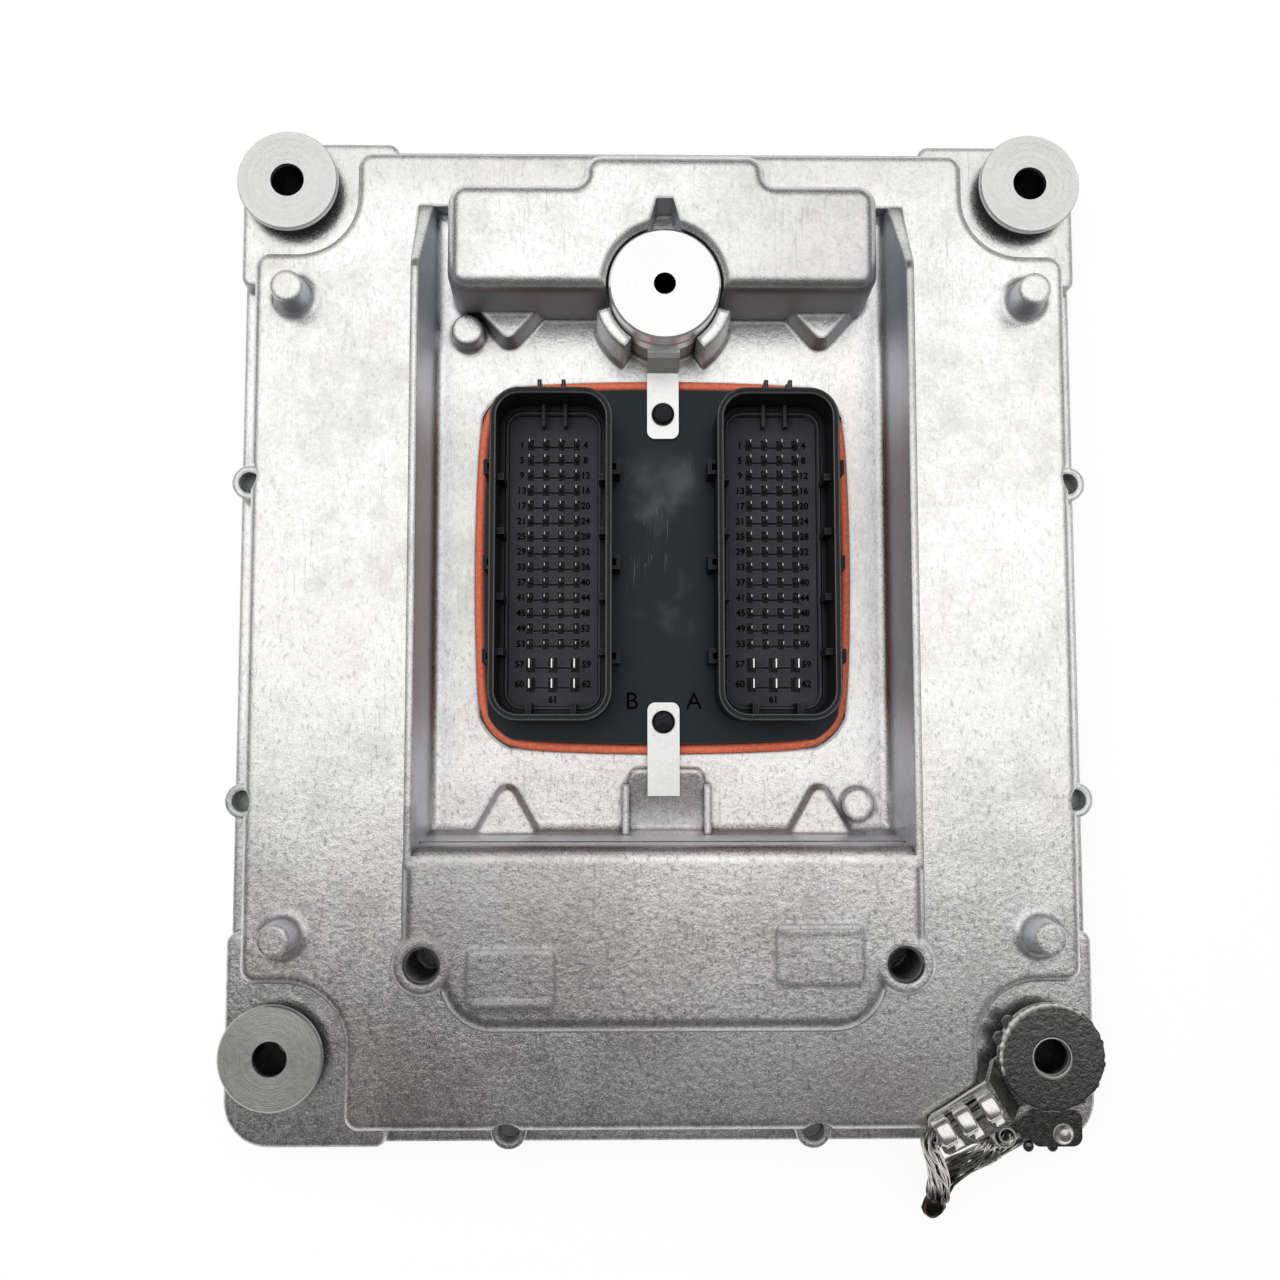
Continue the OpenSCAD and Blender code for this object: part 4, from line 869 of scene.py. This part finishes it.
class UNIT_OT_connector(Operator):
    """Finish the header and its seal, and add the tiles on the socket floors and the moulded marks."""

    bl_idname = "unit.connector"
    bl_label = "Connector"

    def execute(self, context):
        finish = context.scene.unit_connector
        # Painted light: the socket floors and low walls get a plastic lighter than the plate, to stand in for the
        # light they reflect.
        grey = moulded("lit_floor_plastic", finish.floor, 0.5, 0.0004, 0.2, gloss=0.12)
        shell = moulded("shell_plastic", finish.shell, 0.22, 0.0006, gloss=0.9)
        paint(header_plastic(finish), "connector_header")
        self.make_seal(finish)
        tile_top = SOCKET_FLOOR + finish.tile_height / MM
        marks = []
        for side, x in SOCKET_X.items():
            self.lay_floor(side, x, tile_top, grey)
            self.line_shell(side, x, shell, grey)
            marks += self.numbers(x, tile_top, finish.number_height / MM)
        for text, x in (("B", -7.6), ("A", 8.4)):
            marks.append((text, x, -24.6, PLATE_TOP, finish.letter_height / MM))
        # The raised numbers and letters are coloured near-black.
        black = moulded("mark_plastic", NEAR_BLACK, 0.7, 0.0005, pale=NEAR_BLACK, gloss=0.0)
        add_piece("pin_numbers", lettering(marks, 0.12), black)
        return {"FINISHED"}

    def make_seal(self, finish):
        """Lip of the seal that shows round the plate."""
        profile = ((-0.05, 27.6), (2.15, 27.6), (2.2, 28.55), (2.5, 28.75), (2.55, 29.2), (2.15, 29.75), (1.2, 30.0),
                   (0.4, 29.6), (0.0, 28.9))
        rims = [[(p.x, p.y, z) for p in header_outline(offset)] for offset, z in profile]
        lip = Shape().loft(list(zip(*rims)), closed=True)
        silicone = moulded("seal_silicone", finish.seal, 0.42, 0.0009, 0.0, 0.00003, (0.75, 0.32, 0.2))
        add_piece("seal_lip", lip, silicone, ["header_seal"], 60)

    def lay_floor(self, side, x, top, grey):
        """Raised floor round the pins, with a slot at each pin and a groove along each row."""
        inset = 3.9
        holes = []
        for k in range(ROWS):
            holes += [(x + column_x(c), row_y(k), 0.85, 1.4) for c in range(COLUMNS)]
            holes.append((x, row_y(k) - 0.6, 1.5 * PITCH, 0.28))
        for y in BLADE_ROWS:
            holes += [(x + c * BLADE_PITCH, SOCKET_Y + y - 0.2, 1.2, 1.9) for c in BLADE_COLUMNS]
            holes.append((x, SOCKET_Y + y - 0.9, BLADE_PITCH, 0.26))
        lines = []
        for axis, middle in enumerate((x, SOCKET_Y)):
            half = SOCKET_HALF[axis] - inset
            cuts = {round(h[axis] + e * h[axis + 2], 4) for h in holes for e in (-1, 1)}
            lines.append(sorted({middle - half, middle + half} | cuts))

        def in_hole(u, v):
            return any(abs(u - h[0]) < h[2] and abs(v - h[1]) < h[3] for h in holes)

        tiles = Shape().sheet(*lines, SOCKET_FLOOR - 0.1, top, in_hole)
        add_piece("socket_floor_" + side, tiles, grey, sharp=20)

    def line_shell(self, side, x, shell, grey):
        """Thin beads on the mouth of the socket, prongs behind it, and the low wall and ribs inside it."""
        back = SOCKET_Y + SOCKET_HALF[1]
        bead, prong, rib = 0.22, 0.5, 0.45
        beads = Shape()
        for inset in (bead, SOCKET_WALL - bead):
            beads.tube(socket_rim(x, inset, SOCKET_MOUTH), circle(0.2, 8), closed=True)
        for dx in (-2.9, 3.1):
            beads.block((x + dx - prong, back - 0.3, 40.0), (x + dx + prong, back + 2.0, 46.3), 0.3)
        add_piece("shell_beads_" + side, beads, shell, sharp=40)
        walls = Shape()
        section = ((0.42, -0.2), (0.42, 2.7), (0.25, 3.0), (-0.25, 3.0), (-0.42, 2.7), (-0.42, -0.2))
        walls.tube(socket_rim(x, 3.3, SOCKET_FLOOR), section, closed=True)
        for dx in (-2.5, 3.1):
            walls.block((x + dx - rib, back - 7.2, SOCKET_FLOOR - 0.1), (x + dx + rib, back - 1.4, 35.0), 0.2)
        add_piece("low_walls_" + side, walls, grey, sharp=30)

    def numbers(self, x, z, size):
        """Numbers of the first and last pin of each row, and of the wide pins."""
        beside = 1.5 * PITCH + 2.3
        marks = []
        for k in range(ROWS):
            marks.append((str(4 * k + 1), x - beside, row_y(k), z, size))
            marks.append((str(4 * k + 4), x + beside, row_y(k), z, size))
        upper, lower = [SOCKET_Y + y for y in BLADE_ROWS]
        wide = (("57", -8.6, upper), ("59", 8.6, upper), ("60", -8.6, lower), ("62", 8.6, lower),
                ("61", 0.0, lower - 4.0))
        return marks + [(text, x + dx, y, z, size) for text, dx, y in wide]


class UNIT_OT_contacts(Operator):
    """Make the pins of both sockets, with pointed ends."""

    bl_idname = "unit.contacts"
    bl_label = "Contacts"

    def execute(self, context):
        tin = metal("tinned_contacts", (0.95, 0.94, 0.92), (0.85, 0.84, 0.82), 0.2, 0.0006, 0.003, 0.000005, 0.1)
        dull = metal("dull_contacts", (0.48, 0.47, 0.46), (0.30, 0.30, 0.29), 0.25, 0.0006, 0.003, 0.000005, 0.2)
        for side, x in SOCKET_X.items():
            shape = Shape()
            for c in range(COLUMNS):
                for k in reversed(range(ROWS)):
                    self.pin(shape, x + column_x(c), row_y(k), 0.42, 0.42, 37.0, 0.27)
            add_piece("signal_contacts_" + side, shape, dull, ["signal_pins_" + side], 20)
            shape = Shape()
            for c in BLADE_COLUMNS:
                for y in BLADE_ROWS:
                    self.pin(shape, x + c * BLADE_PITCH, SOCKET_Y + y, 0.42, 1.2, 38.0, 0.22)
            add_piece("power_contacts_" + side, shape, tin, ["power_pins_" + side], 20)
        return {"FINISHED"}

    def pin(self, shape, x, y, half_x, half_y, tip, taper):
        rings = []
        for z, cut in ((PIN_FOOT, 0.0), (tip - 2.2, 0.0), (tip - 0.1, taper), (tip, taper + 0.04)):
            a, b = half_x - cut, half_y - cut * 0.25
            rings.append(oblong(x - a, y - b, x + a, y + b, z))
        shape.loft(rings)


class UNIT_OT_strap(Operator):
    """Make the ground strap: terminals, crimp bands, braid and rivet."""

    bl_idname = "unit.strap"
    bl_label = "Ground Strap"

    def execute(self, context):
        finish = context.scene.unit_strap
        plating = finish.plating
        # Painted shade: the plating darkens below 34 mm, on the low ring and tab.
        plated = metal("terminal_plating", plating, shade(plating, 0.35), 0.16, 0.0013, 0.0018, 0.0003, 0.4,
                       fade=("Z", (0.05, 0.053, 0.05), 0.034, 0.029, 0.72))
        bright = metal("crimp_tin", (0.95, 0.93, 0.88), (0.82, 0.80, 0.75), 0.2, 0.0008, 0.003, speckle=0.15)
        # On the rims this bright tin is partly wear and partly a painted highlight, widest on the ring's upper left.
        worn = metal("worn_tin", (0.97, 0.95, 0.90), (0.85, 0.83, 0.78), 0.48, 0.0008, 0.003, speckle=0.15)
        paint(plated, "ring_terminal", "tab_terminal")
        paint(bright, "strap_screw")
        self.make_face(plated)
        self.make_rims(worn, plated)
        self.make_bands(bright)
        self.make_curl(worn)
        self.make_braid(finish)
        self.make_fold()
        return {"FINISHED"}

    def make_face(self, plated, sides=180):
        """Upper face of the ring, with an eased and slightly uneven edge."""
        inside, outside = ((5.5, 1.5), (5.2, 1.5), (4.9, 1.3)), ((13.62, 0.5), (13.66, 1.0), (13.35, 1.4))
        rings = []
        for k in range(sides):
            angle = 2 * pi * k / sides
            wave = 0.09 * sin(17 * angle) + 0.07 * sin(29 * angle + 1.3)
            uneven = [(r + wave, z) for r, z in outside]
            section = [(4.9, 0.2), (13.1, 0.2), *uneven, (13.0, 1.5), (12.7, 1.5), *inside]
            rings.append([STRAP_RING + Vector((r * cos(angle), r * sin(angle), z)) for r, z in section])
        add_piece("ring_face", Shape().loft(rings, closed=True), plated, sharp=40)

    def make_rims(self, tin, plated):
        """Bright rims round the ring, its hole and the rivet and on the tongue's edge, partly wear and partly painted
        highlight, and the tab's nubs.
        """
        shape = Shape()
        radius, height, steps = 13.15, 1.45, 96
        rings = []
        for k in range(steps + 1):
            angle = radians(55 + 1.5 * k)
            out = Vector((cos(angle), sin(angle), 0))
            wide = 0.22 + 0.5 * sin(pi * k / steps) + 0.22 * sin(0.9 * k) * sin(0.23 * k)
            middle = STRAP_RING + out * radius + Vector((0, 0, height))
            rings.append([middle + out * (1.193 * u) + Vector((0, 0, 0.6 * v)) for u, v in circle(wide, 8)])
        shape.loft(rings)
        for centre, reach, thick in ((STRAP_RING, 4.95, 0.24), (RIVET, 2.5, 0.22)):
            loop = [centre + Vector((u, v, 1.28)) for u, v in circle(reach, 48)]
            shape.tube(loop, circle(thick, 8), closed=True)
        edge = ((19.0, -5.95), (24.0, -5.8), (30.0, -5.45), (34.8, -5.2), (36.0, -4.4), (36.4, -3.4))
        shape.tube(smooth_path([on_tongue(u, v, 35.75) for u, v in edge], 4), circle(0.42, 8))
        add_piece("strap_rims", shape, tin, sharp=50)
        nubs = Shape()
        for x in (95.5, 101.8):
            nubs.loft([[(x + u, v - 139.7, z) for u, v in circle(r, 20)]
                       for r, z in ((1.4, 20.0), (1.4, 20.5), (1.0, 20.9))])
        add_piece("tab_nubs", nubs, plated, sharp=50)

    def make_bands(self, bright):
        """Three folded crimp bands over the braid and three small tabs beside them."""
        band = ((-3.0, -2.3), (-3.0, 0.6), (-2.7, 1.5), (-2.0, 2.2), (0.9, 3.1), (2.2, 2.95), (2.9, 2.0), (3.05, 0.6),
                (3.0, -2.3))
        band_ends = ((-0.5, 0.86), (-0.1, 0.97), (0.3, 1.0), (2.9, 1.0), (3.3, 0.97), (3.7, 0.86))
        tab = ((-1.1, -0.2), (-1.1, 0.35), (0.7, 0.95), (1.1, 0.75), (1.15, -0.2))
        tab_ends = ((-0.1, 0.7), (0.25, 1.0), (2.15, 1.0), (2.5, 0.7))
        folds = [(u, STRAP_SHIFT, STRAP_AXIS, band, band_ends) for u in (19.9, 26.7, 32.5)]
        folds += [(u, v, 36.0, tab, tab_ends) for u, v in ((19.6, 3.6), (25.6, 3.7), (31.2, 3.6))]
        shape = Shape()
        for start, aside, z, section, ends in folds:
            shape.loft([[on_tongue(start + along, aside + v * grow, z + w * grow) for v, w in section]
                        for along, grow in ends])
        add_piece("crimp_bands", shape, bright, sharp=35)

    def make_curl(self, tin, steps=71):
        """Rolled strip on the barrel of the tab."""
        middle = Vector((88.0, -135.4, 24.0))
        strip = []
        for k in range(steps + 1):
            angle = radians(160 + 600 * k / steps)
            reach = 3.1 - 2.2 * k / steps
            strip.append(middle + Vector((reach * cos(angle), reach * sin(angle), 0)))
        section = ((-0.38, -2.7), (0.38, -2.7), (0.38, 2.0), (0.15, 2.45), (-0.15, 2.45), (-0.38, 2.0))
        add_piece("barrel_curl", Shape().tube(strip, section), tin, sharp=40)

    def make_braid(self, finish):
        """Loose strands that follow the braid's route and spread a little at its fold."""
        wire = finish.wire
        # Painted shade: the wire turns dark brown towards the fold.
        tinned = metal("braid_wire", wire, shade(wire, 0.5), 0.22, 0.0005, 0.002,
                       fade=("Y", (0.03, 0.021, 0.018), -0.1475, -0.1505, 0.85))
        end = on_tongue(STRAP_END, STRAP_SHIFT, STRAP_AXIS)
        low = TAB_BARREL + STRAP_WAY * TAB_BARREL_LENGTH
        route = [end + STRAP_WAY * k for k in (-15.6, -8.0, -4.0, -1.0, 0.2)]
        route += [end + Vector((x, y, -z)) for x, y, z in BRAID_FALL]
        route += [low + Vector((x, y, -z)) for x, y, z in BRAID_RISE]
        route += [low + STRAP_WAY * k for k in (1.2, 0.2, -1.0, -3.0, -5.5)]
        path = smooth_path(route, 5)
        shape = Shape()
        for reach, count, turns in ((1.75, finish.strands, 1.2), (1.15, 14, -0.9), (0.5, 6, 0.7)):
            for k in range(count):
                strand = [self.strand_point(path, i, reach, k, count, turns) for i in range(len(path))]
                shape.tube(strand, circle(finish.strand_radius / MM, 5))
        add_piece("braid_strands", shape, tinned, ["strap_braid"], 60)

    def strand_point(self, path, i, reach, k, count, turns):
        """Point of one strand: it winds round the path, and spreads and flattens along it."""
        last = len(path) - 1
        t = i / last
        ahead = path[min(i + 1, last)] - path[max(i - 1, 0)]
        side = ahead.cross(Vector((0.94, 0.0, 0.34))).normalized()
        top = side.cross(ahead).normalized()
        angle = 2 * pi * (k / count + turns * t) + 0.35 * sin(23.0 * t + 2.4 * k)
        spread = reach * (1.0 + 0.06 * sin(31.0 * t + 1.7 * k))
        spread *= 1.0 + 0.25 * ramp(t, 0.5, 0.15) + 0.12 * ramp(-t, -0.26, 0.06)
        flat = 1.0 + 0.45 * sin(pi * ramp(t, 0.2, 0.7)) + 0.25 * ramp(-t, -0.24, 0.05)
        return path[i] + spread * (side * (cos(angle) / flat) + top * (sin(angle) * flat))

    def make_fold(self):
        """Pinched end where the braid folds back, painted dark brown as painted shade."""
        shaded_fold = metal("shaded_fold_metal", (0.075, 0.052, 0.044), (0.035, 0.025, 0.022), 0.3, 0.0006, 0.002, 0.00006)
        widths = ((-148.6, 1.5, 1.5), (-151.2, 1.8, 1.7), (-153.4, 2.7, 1.8), (-155.2, 3.1, 1.6), (-156.7, 2.3, 1.3),
                  (-157.7, 1.0, 0.7))
        rings = []
        for y, wide, high in widths:
            middle = 71.3 + 0.12 * (y + 150)
            ring = []
            for k, (u, v) in enumerate(circle(1.0, 32)):
                rib = 1.0 + 0.06 * cos(8 * 2 * pi * k / 32)
                ring.append((middle + wide * rib * u, y, 19.6 + high * rib * v))
            rings.append(ring)
        add_piece("braid_fold", Shape().loft(rings), shaded_fold, sharp=60)


class UNIT_OT_board(Operator):
    """Finish the circuit board and the parts on it."""

    bl_idname = "unit.board"
    bl_label = "Circuit Board"

    def execute(self, context):
        paint(moulded("board_green", (0.02, 0.09, 0.04), 0.35, 0.001), "circuit_board")
        epoxy = moulded("black_epoxy", (0.02, 0.02, 0.02), 0.45, 0.0005)
        paint(epoxy, "processor_chip", "driver_chips", "power_transistors", "filter_coils")
        can = metal("can_aluminium", (0.8, 0.8, 0.8), (0.66, 0.66, 0.66), 0.3, 0.0006, 0.01)
        paint(can, "buffer_capacitors")
        paint(metal("screw_steel", (0.6, 0.6, 0.6), (0.45, 0.45, 0.45), 0.35, 0.0006, 0.01), "board_screws")
        return {"FINISHED"}


class UNIT_PT_panel(Panel):
    """Lists the steps, the sizes and the colours."""

    bl_idname = "UNIT_PT_panel"
    bl_label = "Engine Control Unit"
    bl_space_type = "VIEW_3D"
    bl_region_type = "UI"
    bl_category = "Control Unit"

    def draw(self, context):
        for operator in OPERATORS:
            self.layout.operator(operator.bl_idname)
        for name, group in GROUPS.items():
            box = self.layout.box()
            for field in group.__annotations__:
                box.prop(getattr(context.scene, name), field)


GROUPS = {"unit_casting": CastingFinish, "unit_connector": ConnectorFinish, "unit_strap": StrapFinish,
          "unit_stage": StageSetup}
OPERATORS = (UNIT_OT_stage, UNIT_OT_casting, UNIT_OT_cover, UNIT_OT_isolators, UNIT_OT_pillar, UNIT_OT_connector,
             UNIT_OT_contacts, UNIT_OT_strap, UNIT_OT_board)
CLASSES = (*GROUPS.values(), *OPERATORS, UNIT_PT_panel)


def register():
    for cls in CLASSES:
        bpy.utils.register_class(cls)
    for name, group in GROUPS.items():
        setattr(bpy.types.Scene, name, PointerProperty(type=group))


def unregister():
    for name in GROUPS:
        delattr(bpy.types.Scene, name)
    for cls in reversed(CLASSES):
        bpy.utils.unregister_class(cls)


def main():
    register()
    for build in (build_grain_group, build_patch_group, build_scratch_group, build_corner_group, build_lathe_group):
        build()
    for operator in OPERATORS:
        group, name = operator.bl_idname.split(".")
        getattr(getattr(bpy.ops, group), name)()


if __name__ == "__main__":
    main()
